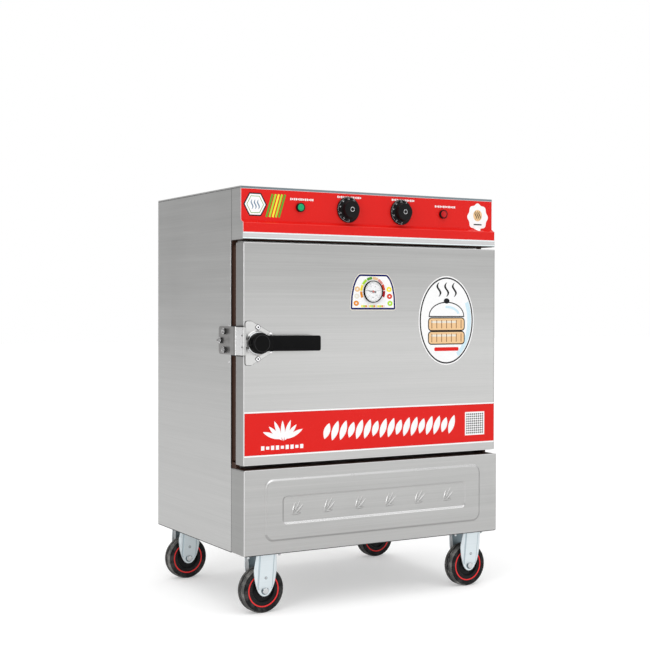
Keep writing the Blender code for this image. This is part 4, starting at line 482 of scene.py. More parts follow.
def eased(points, radii, closed=True, steps=4):  # each corner of a line turned into an arc
    line = []
    count = len(points)
    for i, point in enumerate(points):
        radius = radii[i] if isinstance(radii, tuple) else radii
        here = Vector(point)
        if not closed and i in (0, count - 1):
            line.append(tuple(here))
            continue
        back = Vector(points[i - 1]) - here
        ahead = Vector(points[(i + 1) % count]) - here
        half = back.angle(ahead) / 2
        reach = min(radius / math.tan(half), 0.48 * min(back.length, ahead.length))
        bend = reach * math.tan(half)
        centre = here + (back.normalized() + ahead.normalized()).normalized() * bend / math.sin(half)
        start = here + back.normalized() * reach - centre
        end = here + ahead.normalized() * reach - centre
        first = math.atan2(start.y, start.x)
        sweep = (math.atan2(end.y, end.x) - first + math.pi) % math.tau - math.pi
        line += arcLine(centre, bend, bend, math.degrees(first), math.degrees(first + sweep), steps)
    return line


def shrunk(outline, inset):  # the outline drawn in evenly
    area = sum(a[0] * b[1] - b[0] * a[1] for a, b in zip(outline, outline[1:] + outline[:1]))
    turn = 1 if area > 0 else -1
    line = []
    for i, point in enumerate(outline):
        here = Vector(point)
        into = (here - Vector(outline[i - 1])).normalized()
        away = (Vector(outline[(i + 1) % len(outline)]) - here).normalized()
        normal = Vector((-(into + away).y, (into + away).x)).normalized() * turn
        lean = max(0.5, normal.dot(Vector((-into.y, into.x)) * turn))
        line.append(tuple(here + normal * inset / lean))
    return line


def hullLine(points):  # the tight convex outline round some points
    spots = sorted(set(points))
    halves = []
    for run in (spots, spots[::-1]):
        half = []
        for point in run:
            while len(half) > 1:
                last = Vector(half[-1])
                if (last - Vector(half[-2])).cross(Vector(point) - last) > 0:
                    break
                half.pop()
            half.append(point)
        halves += half[:-1]
    return halves


def lathe(work, axis, centre, profile, steps=64):  # profile holds (radius, place along the axis)
    rings = []
    for radius, along in profile:
        line = ovalLine(centre, radius, radius, steps) if radius > 1e-6 else [centre]
        rings.append([work.verts.new(spot(axis, u, v, along)) for u, v in line])
    for near, far in zip(rings, rings[1:]):
        for i in range(steps):
            j = i + 1
            corners = (near[i % len(near)], near[j % len(near)], far[j % len(far)], far[i % len(far)])
            corners = list(dict.fromkeys(corners))
            if len(corners) > 2:
                work.faces.new(corners)


def loft(work, axis, sections):
    rings = [[work.verts.new(spot(axis, u, v, along)) for u, v in outline] for outline, along in sections]
    work.faces.new(rings[0])
    work.faces.new(rings[-1])
    for near, far in zip(rings, rings[1:]):
        for i in range(len(near)):
            j = (i + 1) % len(near)
            work.faces.new((near[i], near[j], far[j], far[i]))


def softRim(outline, edge, face, sign, steps=3):  # the sections that round a face's edge off
    sections = []
    for i in range(steps + 1):
        angle = math.pi / 2 * i / steps
        inset = edge * (1 - math.sin(angle))
        sections.append((shrunk(outline, inset), face + sign * edge * (1 - math.cos(angle))))
    return sections


def slab(work, axis, outline, face, back, edge=0.0):  # a plate, its face with a soft edge if wanted
    rim = softRim(outline, edge, face, 1 if back > face else -1) if edge else [(outline, face)]
    loft(work, axis, rim + [(outline, back)])


def hexHead(work, axis, centre, acrossFlats, face, back, turn=0.0):  # a bolt head with its chamfered crown
    radius = acrossFlats / math.sqrt(3)
    start = math.degrees(turn)
    outline = arcLine(centre, radius, radius, start, start + 360, 6)[:-1]
    slab(work, axis, outline, face, back, abs(back - face) * 0.25)


def ridge(work, root, angle, length, width, bend, floor, proud, steps=12):  # a raised blade, rounded across
    rows = []
    u, v = root
    for i in range(steps + 1):
        share = i / steps
        turn = angle + bend * share
        thick = width * math.sin(math.pi * (0.05 + 0.90 * share)) ** 0.6 / 2
        row = []
        for j in range(7):
            across = j / 3 - 1
            lift = proud * (1 - across * across) * thick * 2 / width
            reach = thick * across
            row.append(work.verts.new((u - reach * math.sin(turn), floor - lift, v + reach * math.cos(turn))))
        row.append(work.verts.new((u, floor + 0.0005, v)))
        rows.append(row)
        u += length / steps * math.cos(turn)
        v += length / steps * math.sin(turn)
    work.faces.new(rows[0])
    work.faces.new(rows[-1])
    for near, far in zip(rows, rows[1:]):
        for j in range(8):
            k = (j + 1) % 8
            work.faces.new((near[j], near[k], far[k], far[j]))


def addNumber(work, words, location, height, depth=0.00004, turn=0.0):
    data = bpy.data.curves.new("number", "FONT")
    adjust(data, body=words, size=height, align_x="CENTER", align_y="CENTER", extrude=depth, resolution_u=3)
    holder = place("number", data)
    bpy.context.view_layer.update()
    mesh = bpy.data.meshes.new_from_object(holder.evaluated_get(bpy.context.evaluated_depsgraph_get()))
    upright = Matrix.Rotation(turn, 4, "Y") @ Matrix.Rotation(math.pi / 2, 4, "X")
    mesh.transform(Matrix.Translation(location) @ upright)
    work.from_mesh(mesh)
    bpy.data.objects.remove(holder)
    bpy.data.meshes.remove(mesh)
    bpy.data.curves.remove(data)


def piece(name, material, body, draw, slot=None, crease=38, replaces=None):
    work = bmesh.new()
    draw(work)
    bmesh.ops.recalc_face_normals(work, faces=work.faces)
    mesh = bpy.data.meshes.new(name)
    work.to_mesh(mesh)
    work.free()
    mesh.materials.append(finishes[material])
    mesh.shade_smooth()
    mesh.set_sharp_from_angle(angle=math.radians(crease))
    made = place(name, mesh)
    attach(made, body)
    if replaces:
        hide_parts(replaces)
    return made


def turned(name, material, body, axis, centre, profile, steps=64, **more):
    return piece(name, material, body, lambda work: lathe(work, axis, centre, profile, steps), **more)


def plates(name, material, body, rows, **more):  # each row holds what slab takes
    return piece(name, material, body, lambda work: [slab(work, *row) for row in rows], **more)


def head(work, axis, centre, kind, face, side, steps=20):  # a small turned part that stands on a face
    lathe(work, axis, centre, [(radius, face + side * lift) for radius, lift in headShapes[kind]], steps)


headShapes = {  # radius, height over the face
    "rivet": ((0, 0.0009), (0.0012, 0.0008), (0.0021, 0.0003), (0.0023, -0.0002), (0, -0.0003)),
    "hinge": ((0, 0.0016), (0.0022, 0.0014), (0.0036, 0.0004), (0.0037, -0.0003), (0, -0.0003)),
    "back": ((0, 0.0016), (0.0024, 0.0014), (0.0040, 0.0003), (0.0041, -0.0002), (0, -0.0002)),
    "dome": ((0, 0.0030), (0.0022, 0.0027), (0.0036, 0.0018), (0.0043, 0.0004), (0.0044, -0.0025)),
    "dimple": ((0, 0.0011), (0.0012, 0.0010), (0.0021, 0.0006), (0.0021, 0)),
    "shadowSeat": ((0, 0.0005), (0.0032, 0.0005), (0.0034, -0.0008), (0, -0.0008)),
    "washer": ((0, 0.0012), (0.0088, 0.0012), (0.0091, 0.0004), (0.0091, -0.0010), (0, -0.0010)),
    "stem": ((0, 0.0125), (0.0029, 0.0125), (0.0029, 0), (0, 0)),
}


# Finishes on the CAD pieces that stay

nodeFinish = {
    "panelSteel": "side_panel_left side_panel_right back_panel front_frame fascia_panel",
    "lidSteel": "top_panel base_plate",
    "doorSteel": "door_skin",
    # the keeper is in a darker steel than the panels: painted shade
    "keeperShadeSteel": "latch_keeper",
    "linerSteel": "chamber_wall_left chamber_wall_right chamber_wall_back chamber_ceiling water_tank"
                  " tank_grid tray_rack_left tray_rack_right heating_element door_liner steam_vent",
    "latchSteel": "latch_plate latch_cam hinge_upper_frame_leaf hinge_lower_frame_leaf hinge_upper_door_leaf"
                  " hinge_lower_door_leaf",
    "foamBoard": "insulation_jacket door_insulation",
    "brassMetal": "float_valve_body drain_valve_body",
    "blackPlastic": "lamp_heating_bezel lamp_power_bezel thermostat_body timer_body cable_gland"
                    " thermometer_case",
    "greenLens": "lamp_heating_lens",
    "redLens": "lamp_power_lens",
    "gasketRubber": "door_gasket",
    "dialGlass": "thermometer_glass",
    "needlePaint": "thermometer_needle",
    "floatPlastic": "float_arm",
    "leverVinyl": "drain_valve_lever",
}

nodeEdge = {  # widths of the softened edges, metres
    0.0006: "top_panel",
    0.0005: "latch_keeper door_gasket tray_rack_left tray_rack_right " + nodeFinish["latchSteel"],
    0.0004: "back_panel front_frame chamber_wall_left chamber_wall_right chamber_ceiling water_tank"
            " door_liner base_plate",
}


def softEdges(target, width):
    adjust(target.modifiers.new("weld", "WELD"), merge_threshold=1e-5)
    bevel = target.modifiers.new("softEdges", "BEVEL")
    adjust(bevel, width=width, segments=2, limit_method="ANGLE", angle_limit=math.radians(24))
    adjust(target.modifiers.new("split", "EDGE_SPLIT"), split_angle=math.radians(48))
    target.modifiers.new("evenNormals", "WEIGHTED_NORMAL")


for finish, names in nodeFinish.items():
    for name in names.split():
        for slot in nodes[name].material_slots:
            slot.material = finishes[finish]
for width, names in nodeEdge.items():
    for name in names.split():
        softEdges(nodes[name], width)
print("CAD pieces finished")



# Base front: pressed panel with a raised field, a sunk field in it and leaf ornaments

baseSet = {
    "sheet": 0.0010,
    "edge": 0.0012,  # radius of the fold round the face
    "rimCorner": 0.0030,
    "proud": 0.0030,
    "ramp": 0.0060,  # width of a pressed step
    "field": (0.0535, 0.0310, 0.0250, 0.0190),  # margins at the sides, below, above; corner
    "sunk": (0.0970, 0.0675, 0.0638, 0.0095),
    "sunkDepth": 0.0026,
    "leafCount": 6,
    "leafPitch": 0.0838,
    "leafRoot": (-0.019, -0.012),  # from the middle of its place
    "leafProud": 0.0022,
    "leafWidth": 0.0056,
    "leaves": (  # angle, length, bend
        (24, 0.036, 0.55),
        (50, 0.038, 0.25),
        (78, 0.030, -0.20),
        (14, 0.022, -0.30),
    ),
}
baseFace = baseLow.y + baseSet["proud"]


def makeBaseFront():
    b = baseSet
    floor = baseLow.y + b["sunkDepth"]
    middle = (baseLow.z + b["sunk"][1] + baseHigh.z - b["sunk"][2]) / 2

    def step(margins, start, end):  # the rings of one pressed step, from its outer line inwards
        side, below, above, corner = margins
        rings = []
        for i in range(9):
            share = i / 8
            grow = b["ramp"] * (0.5 - share)
            low = baseLow.x + side - grow, baseLow.z + below - grow
            high = baseHigh.x - side + grow, baseHigh.z - above + grow
            depth = start + (end - start) * share * share * (3 - 2 * share)
            rings.append((eased(oblong(*low, *high), corner + grow, steps=8), depth))
        return rings

    rim = eased(oblong(baseLow.x, baseLow.z, baseHigh.x, baseHigh.z), b["rimCorner"], steps=8)
    inner = shrunk(rim, b["sheet"])
    sections = [(inner, baseFace + b["sheet"]), (inner, baseHigh.y), (rim, baseHigh.y)]
    sections += softRim(rim, b["edge"], baseFace, 1, 4)[::-1]
    sections += step(b["field"], baseFace, baseLow.y) + step(b["sunk"], baseLow.y, floor)

    def draw(work):
        loft(work, "Y", sections)
        for i in range(b["leafCount"]):
            across = (i - (b["leafCount"] - 1) / 2) * b["leafPitch"]
            root = (across + b["leafRoot"][0], middle + b["leafRoot"][1])
            for angle, length, bend in b["leaves"]:
                turn = math.radians(angle)
                ridge(work, root, turn, length, b["leafWidth"], bend, floor + 0.0001, b["leafProud"])

    panel = piece("base_front", "baseSteel", "cabinet", draw, "panel_steel", 50, "base_front_panel")
    # Faces take steels by the way they face. The side returns, the downward ramps of the lower half and the
    # rightward ramps are darker: painted shade. The upward ramps and the leftward ramps on the right half are
    # lighter: painted highlight.
    for finish in ("returnShadeSteel", "shadeSteel", "foldHighlightSteel", "panelSteel", "edgeHighlightSteel"):
        panel.data.materials.append(finishes[finish])
    sheetFaces = 2 + (len(sections) - 1) * len(rim)  # the leaves' faces follow these
    for side in panel.data.polygons:
        facing, centre = side.normal, side.center
        lower = centre.z < (baseLow.z + baseHigh.z) / 2
        pressed = centre.y < baseFace - 0.0001 and side.index < sheetFaces
        if abs(facing.x) > 0.9 and centre.y > baseFace + 0.002:
            side.material_index = 1
        elif pressed and (facing.z < -0.10 and lower or facing.x > 0.25 > 2 * facing.z):
            side.material_index = 2
        elif pressed and facing.z > 0.33:
            side.material_index = 3 if lower else 5
        elif pressed and facing.x < -0.25 and centre.x > 0:
            side.material_index = 4
    panel.modifiers.new("evenNormals", "WEIGHTED_NORMAL").keep_sharp = True


makeBaseFront()
print("base front made")


# Folded edges: narrow beads where the sheets turn, in a lighter steel for a painted highlight, and the door's
# returns in a darker steel for painted shade

foldSet = {
    "radius": 0.0012,
    "proud": 0.0004,
    "setBack": 0.0035,  # of the side sheets' beads, behind the seam
    "inset": 0.0012,  # of a bead's ends
}


def foldLine(axis, corner, towards, low, high):  # a rounded bead along one outer corner
    radius = foldSet["radius"]
    centre = tuple(corner[i] - towards[i] * (radius - foldSet["proud"]) for i in (0, 1))
    middle = math.degrees(math.atan2(towards[1], towards[0]))
    return axis, [centre] + arcLine(centre, radius, radius, middle - 70, middle + 70, 8), low, high


def makeFolds():
    inset = foldSet["inset"]
    low, high = doorLow.z + inset, doorHigh.z - inset
    doorLines = [foldLine("Z", (doorLow.x, doorFace), (-1, -1), low, keeperLow.z - 0.002)]
    doorLines.append(foldLine("Z", (doorLow.x, doorFace), (-1, -1), keeperHigh.z + 0.002, high))
    doorLines.append(foldLine("Z", (doorLow.x, doorHigh.y), (-1, 1), low, high))
    for side, z in ((-1, doorLow.z), (1, doorHigh.z)):
        doorLines.append(foldLine("X", (doorFace, z), (-1, side), doorLow.x + inset, doorHigh.x - inset))
    hingeLines = [foldLine("Z", (doorHigh.x, y), (1, side), low, high)
                  for y, side in ((doorFace, -1), (doorHigh.y, 1))]
    bodyLines = []
    for side in (-1, 1):
        x, beadY = side * bodyRight, seam + foldSet["setBack"]
        bodyLines.append(foldLine("Z", (x, beadY), (side, -1), baseHigh.z + 0.0004, fasciaLow.z - 0.0004))
        bodyLines.append(foldLine("Z", (x, baseFace), (side, -1), bodyLow + inset, baseHigh.z - inset))
    bodyLines.append(foldLine("X", (baseFace, baseHigh.z), (-1, 1), bodyLeft + inset, bodyRight - inset))
    # these beads are in a lighter steel for painted highlight; on the hinge side they are in a darker steel
    # for painted shade
    plates("door_folds", "edgeHighlightSteel", "door", doorLines)
    plates("door_hinge_folds", "shadeSteel", "door", hingeLines)
    plates("body_folds", "edgeHighlightSteel", "cabinet", bodyLines)
    # the door's side faces are covered in a darker steel: painted shade
    flank = oblong(doorFace + 0.0009, doorLow.z + 0.0006, doorHigh.y - 0.0009, doorHigh.z - 0.0006)
    ends = ((doorLow.x, -1), (doorHigh.x, 1))
    flanks = [("X", flank, x + side * 0.00015, x - side * 0.0001) for x, side in ends]
    plates("door_return_shades", "returnShadeSteel", "door", flanks)


makeFolds()
print("folds made")


# Door banner: white border, red field, plain motifs

filmStep = 0.00006  # from one printed layer to the next
bannerSet = {
    "low": 0.2208,  # above the body's lower edge
    "high": 0.3222,
    "border": 0.0040,
    "left": 0.0030,  # from the body's left side
    "right": 0.6950,
    "fall": 0.0022,  # how far its upper edge drops from left to right
    "grainCount": 17,
    "grainStart": 0.214,
    "grainEnd": 0.566,
    "grainLength": 0.048,
    "grainWidth": 0.0170,
    "fanMiddle": 0.1000,
    "fanLength": 0.058,
    "fanWidth": 0.0165,
    "patchLow": (0.6065, 0.2412),
    "patchHigh": (0.6655, 0.2985),
    "dots": 9,
    "dotRadius": 0.0021,
}


def printed(name, material, outlines, layer=0, body="door", face=doorFace, thickness=0.0003):
    front = face - thickness - layer * filmStep
    back = front + 0.00005 * (layer + 1) if layer else face + 0.0001
    return plates(name, material, body, [("Y", outline, front, back) for outline in outlines])


def makeBanner():
    b = bannerSet
    left, right = bodyLeft + b["left"], bodyLeft + b["right"]
    low, high = bodyLow + b["low"], bodyLow + b["high"]
    middle = (low + high) / 2

    def strip(margin, start, end):
        upper = high - margin
        return [(start, low + margin), (end, low + margin), (end, upper - b["fall"]), (start, upper)]

    printed("banner_border", "whiteFilm", [strip(0, doorLow.x + 0.0012, doorHigh.x - 0.0012)])
    printed("banner_edge_lines", "darkRedInk", [strip(b["border"] - 0.0006, left - 0.0006, right)], 1)
    printed("banner_red", "redFilm", [strip(b["border"], left, right)], 2)
    grains, fan, dots = [], [], []
    for i in range(b["grainCount"]):
        share = i / (b["grainCount"] - 1)
        centre = (bodyLeft + b["grainStart"] + (b["grainEnd"] - b["grainStart"]) * share, middle - 0.001)
        length = b["grainLength"] * (1.0 if i % 3 else 0.80)
        grains.append(grainLine(centre, length, b["grainWidth"], math.radians(70)))
    printed("banner_grains", "whiteFilm", grains, 3)
    root = bodyLeft + b["fanMiddle"]
    for i in range(7):
        angle = math.radians(158 - i * 22)
        reach = b["fanLength"] * (0.48 if i % 2 else 0.56)
        centre = (root + reach * math.cos(angle), middle - 0.012 + reach * 0.62 * math.sin(angle))
        fan.append(grainLine(centre, b["fanLength"] * 0.80, b["fanWidth"] * 0.62, angle))
    dashes = labelDashes(root, middle - 0.0320, 0.112, 0.0095, 9)
    printed("banner_fan", "whiteFilm", fan[::2] + dashes, 3)
    printed("banner_fan_inner", "whiteFilm", fan[1::2], 4)
    (lowU, lowV), (highU, highV) = b["patchLow"], b["patchHigh"]
    patch = oblong(bodyLeft + lowU, bodyLow + lowV, bodyLeft + highU, bodyLow + highV)
    printed("banner_patch", "whiteFilm", [patch], 3)
    for i in range(1, b["dots"] + 1):
        for j in range(1, b["dots"] + 1):
            u = bodyLeft + lowU + (highU - lowU) * i / (b["dots"] + 1)
            v = bodyLow + lowV + (highV - lowV) * j / (b["dots"] + 1)
            dots.append(ovalLine((u, v), b["dotRadius"], b["dotRadius"], 10))
    printed("banner_patch_dots", "blackInk", dots, 4)


makeBanner()
print("banner made")


# Thermometer: surround, dial face, bezel ring

dialSet = {
    "bottom": 0.5485,  # above the body's lower edge
    "middle": 0.3392,  # from the body's left side
    "outline": ((0.0640, 0.0), (0.0622, 0.034), (0.0572, 0.058), (0.0500, 0.0745), (0.0395, 0.0860)),
    "corners": (0.006, 0.05, 0.05, 0.03, 0.012),
    "border": 0.0042,
    "margin": 0.0018,
    "bandStart": 206,  # degrees, from the left over the top
    "bandEnd": -26,
    "bandRadius": 0.0318,
    "bandWidth": 0.0062,
    "bandInks": ("orangeInk", "yellowInk", "limeInk", "greenInk", "tanInk", "pinkInk", "scarletInk",
                 "darkRedInk"),
    "columns": {
        "left": (-1, "orangeInk", "creamFilm", "tanInk"),
        "right": (1, "limeInk", "scarletInk", "yellowInk"),
    },
    "ovalPlace": 0.0468,
    "ovalPitch": 0.0165,
    "checkInks": ("yellowInk", "limeInk", "orangeInk", "creamFilm"),
    "checkPitch": 0.0056,
    "wall": 0.0012,
    "caseShare": 0.975,
    "paperGap": 0.00012,  # clear of the needle, which turns 0.3 mm off the cup's floor
}


def makeSurroundSticker():
    d = dialSet
    middle, bottom = bodyLeft + d["middle"], bodyLow + d["bottom"]
    raw = [(middle + u, bottom + v) for u, v in d["outline"]]
    raw += [(middle - u, bottom + v) for u, v in reversed(d["outline"])]
    outer = eased(raw, d["corners"] + d["corners"][::-1], steps=6)
    navy = shrunk(outer, d["margin"])
    printed("surround_margin", "creamFilm", [outer])
    printed("surround_border", "navyInk", [navy], 1)
    printed("surround_ground", "whiteFilm", [shrunk(navy, d["border"])], 2)
    pivot = axisAt["needle_turn"]
    radius = d["bandRadius"]
    pitch = (d["bandStart"] - d["bandEnd"]) / len(d["bandInks"])
    for i, ink in enumerate(d["bandInks"]):
        start = d["bandStart"] - pitch * i
        arc = arcStroke((pivot.x, pivot.z), radius, radius, start - pitch + 3, start, d["bandWidth"])
        printed(f"surround_band_{i}", ink, [arc], 3)
    for label, (side, *column) in d["columns"].items():
        for i, ink in enumerate(column):
            centre = (middle + side * (d["ovalPlace"] - 0.0014 * i), bottom + 0.0165 + d["ovalPitch"] * i)
            printed(f"surround_oval_{label}_{i}", ink, [ovalLine(centre, 0.0074, 0.0062, 28)], 3)
            printed(f"surround_oval_{label}_{i}_eye", "whiteFilm", [ovalLine(centre, 0.0024, 0.0019, 20)], 4)
    for i, ink in enumerate(d["checkInks"]):
        starts = [middle + (j - 6) * d["checkPitch"] for j in range(i, 12, 4)]
        row = [oblong(u, bottom + 0.0072, u + d["checkPitch"] - 0.0006, bottom + 0.0122) for u in starts]
        printed(f"surround_checks_{i}", ink, row, 3)


def makeDial():
    d = dialSet
    pivot = axisAt["needle_turn"]
    caseLow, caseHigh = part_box("thermometer_case")
    centre = (pivot.x, pivot.z)
    outer = (caseHigh.x - caseLow.x) / 2 * d["caseShare"]
    inner = outer - d["wall"]
    floor, front, back = pivot.y, caseLow.y, caseHigh.y
    raw = [(0, floor), (inner, floor), (inner, front + 0.0002), (inner + 0.0003, front)]
    raw += [(outer - 0.0003, front), (outer, front + 0.0004), (outer, back), (0, back)]
    case = {"slot": "black_plastic", "replaces": "thermometer_case"}
    turned("dial_case", "gripPlastic", "door", "Y", centre, raw, 96, **case)
    paper = floor - d["paperGap"]
    rim = [(0, paper), (inner - 0.0001, paper), (inner - 0.0001, paper + 0.0002), (0, paper + 0.0002)]
    turned("dial_face", "dialPaper", "door", "Y", centre, rim, 72)
    ink = paper - filmStep

    def around(share, angle):
        return (centre[0] + inner * share * math.cos(angle), centre[1] + inner * share * math.sin(angle))

    def draw(work):
        for i in range(31):
            angle = math.radians(225 - 9 * i)
            start, width = (0.77, 0.00035) if i % 6 else (0.70, 0.0006)
            slab(work, "Y", bar(around(start, angle), around(0.86, angle), width), ink, ink + 0.0001)
        for i in range(6):
            u, v = around(0.53, math.radians(225 - 54 * i))
            addNumber(work, str(i * 30), (u, ink, v), 0.0046)
        slab(work, "Y", bar(around(0.56, 4.45), around(0.56, 4.97), 0.0012), ink, ink + 0.0001)

    piece("dial_marks", "scaleInk", "door", draw)
    hub = [(0, floor - 0.0022), (0.0020, floor - 0.0021), (0.0026, floor - 0.0016), (0.0026, floor - 0.0010)]
    turned("needle_hub", "scarletInk", "needle", "Y", centre, hub, 32)


makeSurroundSticker()
makeDial()
print("thermometer made")


# Oval sticker on the door, with a plain steamer-basket motif

stickerSet = {
    "middle": 0.550,  # from the body's left side
    "height": 0.524,  # above the body's lower edge
    "halfWidth": 0.082,
    "halfHeight": 0.108,
    "tiers": (-0.056, -0.023),  # lower edges of the basket's tiers
    "basketHalf": 0.052,
    "tierHeight": 0.028,
    "line": 0.0026,
}


def makeOvalSticker():
    s = stickerSet
    u, v = bodyLeft + s["middle"], bodyLow + s["height"]

    def within(inset):
        return ovalLine((u, v), s["halfWidth"] - inset, s["halfHeight"] - inset, 72)

    printed("oval_margin", "whiteFilm", [within(0)])
    printed("oval_outline", "blackInk", [within(0.0030)], 1)
    printed("oval_ground", "whiteFilm", [within(0.0066)], 2)
    shade = arcStroke((u, v), s["halfWidth"] - 0.014, s["halfHeight"] - 0.014, -62, 28, 0.011)
    printed("oval_shade", "skyInk", [shade], 3)
    half, lows = s["basketHalf"], [v + low for low in s["tiers"]]
    basket = [eased(oblong(u - half, low, u + half, low + s["tierHeight"]), 0.007) for low in lows]
    lights = [eased(oblong(u - 0.046, low + 0.017, u + 0.030, low + 0.022), 0.002) for low in lows]
    slats = [bar((u - 0.0435 + i * 0.0145, low + 0.004), (u - 0.0435 + i * 0.0145, low + 0.024), 0.0018)
             for low in lows for i in range(7)]
    dome = arcLine((u, v + 0.011), 0.050, 0.032, 0, 180, 24)
    waves = [waveStroke((u + shift, v + 0.058), 0.034, 0.0048, 0.0062) for shift in (-0.023, 0.0, 0.023)]
    printed("oval_basket_lines", "blackInk", [shrunk(line, -s["line"]) for line in basket], 4)
    printed("oval_basket", "tanInk", basket, 5)
    printed("oval_basket_lights", "creamFilm", lights, 6)
    printed("oval_slats", "brownInk", slats, 7)
    printed("oval_dome_line", "blackInk", [shrunk(dome, -s["line"])], 4)
    printed("oval_dome", "whiteFilm", [dome], 5)
    printed("oval_dome_shade", "skyInk", [arcStroke((u, v + 0.011), 0.037, 0.022, 15, 95, 0.006)], 6)
    printed("oval_knob", "blackInk", [ovalLine((u, v + 0.0475), 0.0085, 0.0065, 20)], 6)
    printed("oval_red_band", "redFilm", [eased(oblong(u - 0.036, v - 0.074, u + 0.036, v - 0.065), 0.003)], 4)
    printed("oval_steam", "blackInk", waves, 4)


makeOvalSticker()
print("oval sticker made")


# Fascia: edge lines on the red film, plain motifs at both ends, marks by the controls

controlZ = axisAt["thermostat_turn"].z
fasciaFace = overlayHigh.y  # the steel behind the film
filmStack = 0.0004  # the film's own thickness
upperFace = fasciaFace - filmStack
lipFace = overlayLow.y
ledgeTop = fasciaLow.z + 0.0440
ledgeLow = ledgeTop - 0.0070
fasciaSet = {
    "edge": 0.0008,
    "overhang": 0.0033,  # of the film, below the CAD's
    "hexagonPlace": 0.0360,  # from the left end
    "hexagon": (  # ink, label, half width, half height
        ("blackInk", "_rim", 0.0295, 0.0300),
        ("whiteFilm", "", 0.0262, 0.0267),
        ("greenInk", "_line", 0.0218, 0.0222),
        ("whiteFilm", "_field", 0.0202, 0.0206),
    ),
    "stripeInks": ("greenInk", "limeInk", "yellowInk", "limeInk", "greenInk"),
    "stripePlace": 0.0640,
    "badgePlace": 0.044,  # from the right end
    "lampMarks": (-0.193, 0.207),
    "knobMarks": (("thermostat_turn", 0.0045), ("timer_turn", 0.0075)),
}


def drapedAt(z):  # the film's outer face at a height: upright, sloping ledge, lip
    share = min(1.0, max(0.0, (z - ledgeLow) / (ledgeTop - ledgeLow)))
    return lipFace + (upperFace - lipFace) * share


def draped(name, material, outlines, layer):
    def draw(work):
        for outline in outlines:
            slab(work, "Y", outline, 0, 0.00005)
        for height in (ledgeTop, ledgeLow):
            parts = work.verts[:] + work.edges[:] + work.faces[:]
            bmesh.ops.bisect_plane(work, geom=parts, plane_co=(0, 0, height), plane_no=(0, 0, 1))
        for vert in work.verts:
            vert.co.y += drapedAt(vert.co.z) - filmStep * (layer + 1)

    return piece(name, material, "cabinet", draw, crease=30)


def makeFasciaPrint():
    f = fasciaSet
    left, right, edge = overlayLow.x, overlayHigh.x, f["edge"]
    low, high = overlayLow.z - f["overhang"], overlayHigh.z
    line = [(drapedAt(z), z) for z in (low, ledgeLow, ledgeTop, high)]
    outline = line + [(y + filmStack - 0.00002, z) for y, z in reversed(line)]
    sheet = [("X", outline, left, right)]
    plates("fascia_film", "redFilm", "cabinet", sheet, crease=20, replaces="fascia_overlay")
    borders = [
        oblong(left, low, left + edge, high),
        oblong(left, high - edge * 0.6, right, high),
        oblong(left, low, right, low + edge),
        oblong(right - edge * 0.6, low, right, high),
    ]
    draped("fascia_film_edge", "paleFilm", borders, 0)
    u, v = left + f["hexagonPlace"], (ledgeTop + high) / 2
    for i, (ink, label, half, tall) in enumerate(f["hexagon"]):
        draped("fascia_hexagon" + label, ink, [ovalLine((u, v), half, tall, 6)], i + 1)
    waves = [waveStroke((u + shift, v - 0.0105), 0.021, 0.0022, 0.0034) for shift in (-0.008, 0.0, 0.008)]
    draped("fascia_hexagon_waves", "slateInk", waves, 5)
    for i, ink in enumerate(f["stripeInks"]):
        start = left + f["stripePlace"] + 0.0080 * i
        stripe = bar((start, ledgeTop + 0.008), (start + 0.016, high - 0.010), 0.0048)
        draped(f"fascia_stripe_{i}", ink, [stripe], 1)
    u, v = right - f["badgePlace"], controlZ - 0.003
    cloud = []
    for i in range(96):
        angle = math.tau * i / 96
        reach = 1 + 0.06 * math.cos(8 * angle)
        cloud.append((u + 0.0300 * reach * math.cos(angle), v + 0.0325 * reach * math.sin(angle)))
    draped("fascia_badge", "whiteFilm", [cloud], 1)
    draped("fascia_badge_disc", "tanInk", [ovalLine((u, v + 0.004), 0.0135, 0.0140, 40)], 2)
    waves = [waveStroke((u + shift, v - 0.006), 0.021, 0.0022, 0.0030) for shift in (-0.006, 0.0, 0.006)]
    waves.append(bar((u - 0.012, v - 0.0185), (u + 0.012, v - 0.0185), 0.0030))
    draped("fascia_badge_steam", "blackInk", waves, 3)
    marks = []
    for x in f["lampMarks"]:
        marks += labelDashes(x, controlZ + 0.0185, 0.062, 0.0050, 13)
    for joint, shift in f["knobMarks"]:
        marks += labelDashes(axisAt[joint].x + shift, controlZ + 0.0290, 0.066, 0.0050, 14)
    draped("fascia_marks", "whiteFilm", marks, 1)
    glint = oblong(left + edge, ledgeLow - 0.0003, right, ledgeLow + 0.0007)
    draped("fascia_ledge_glint", "glintFilm", [glint], 0)
    base = fasciaLow.z
    more = {"body": "cabinet", "face": lipFace + filmStack, "thickness": 0.0002}
    lines = [oblong(left, low - 0.0020, right, low - 0.0001)]
    lines.append(oblong(left, base + 0.0018, right, base + 0.0044))
    printed("fascia_strip", "silverFilm", [oblong(left, base + 0.0024, right, low - 0.0012)], 0, **more)
    printed("fascia_strip_lines", "paleFilm", lines, 1, **more)
    # a dark strip along the fascia's lower edge: painted shade
    printed("fascia_hem_shade", "seamShade", [oblong(left, base + 0.0001, right, base + 0.0018)], 1, **more)


makeFasciaPrint()
print("fascia print made")


# Knobs: skirt with its scale, smooth cap, bright ring

knobSet = {
    "skirtRadius": 0.0303,
    "capRadius": 0.0207,
    "ringRadius": 0.0054,
    "ringWall": 0.0011,
    "steps": 96,
    "scaleStart": 60,  # degrees
    "scaleSweep": 210,
}


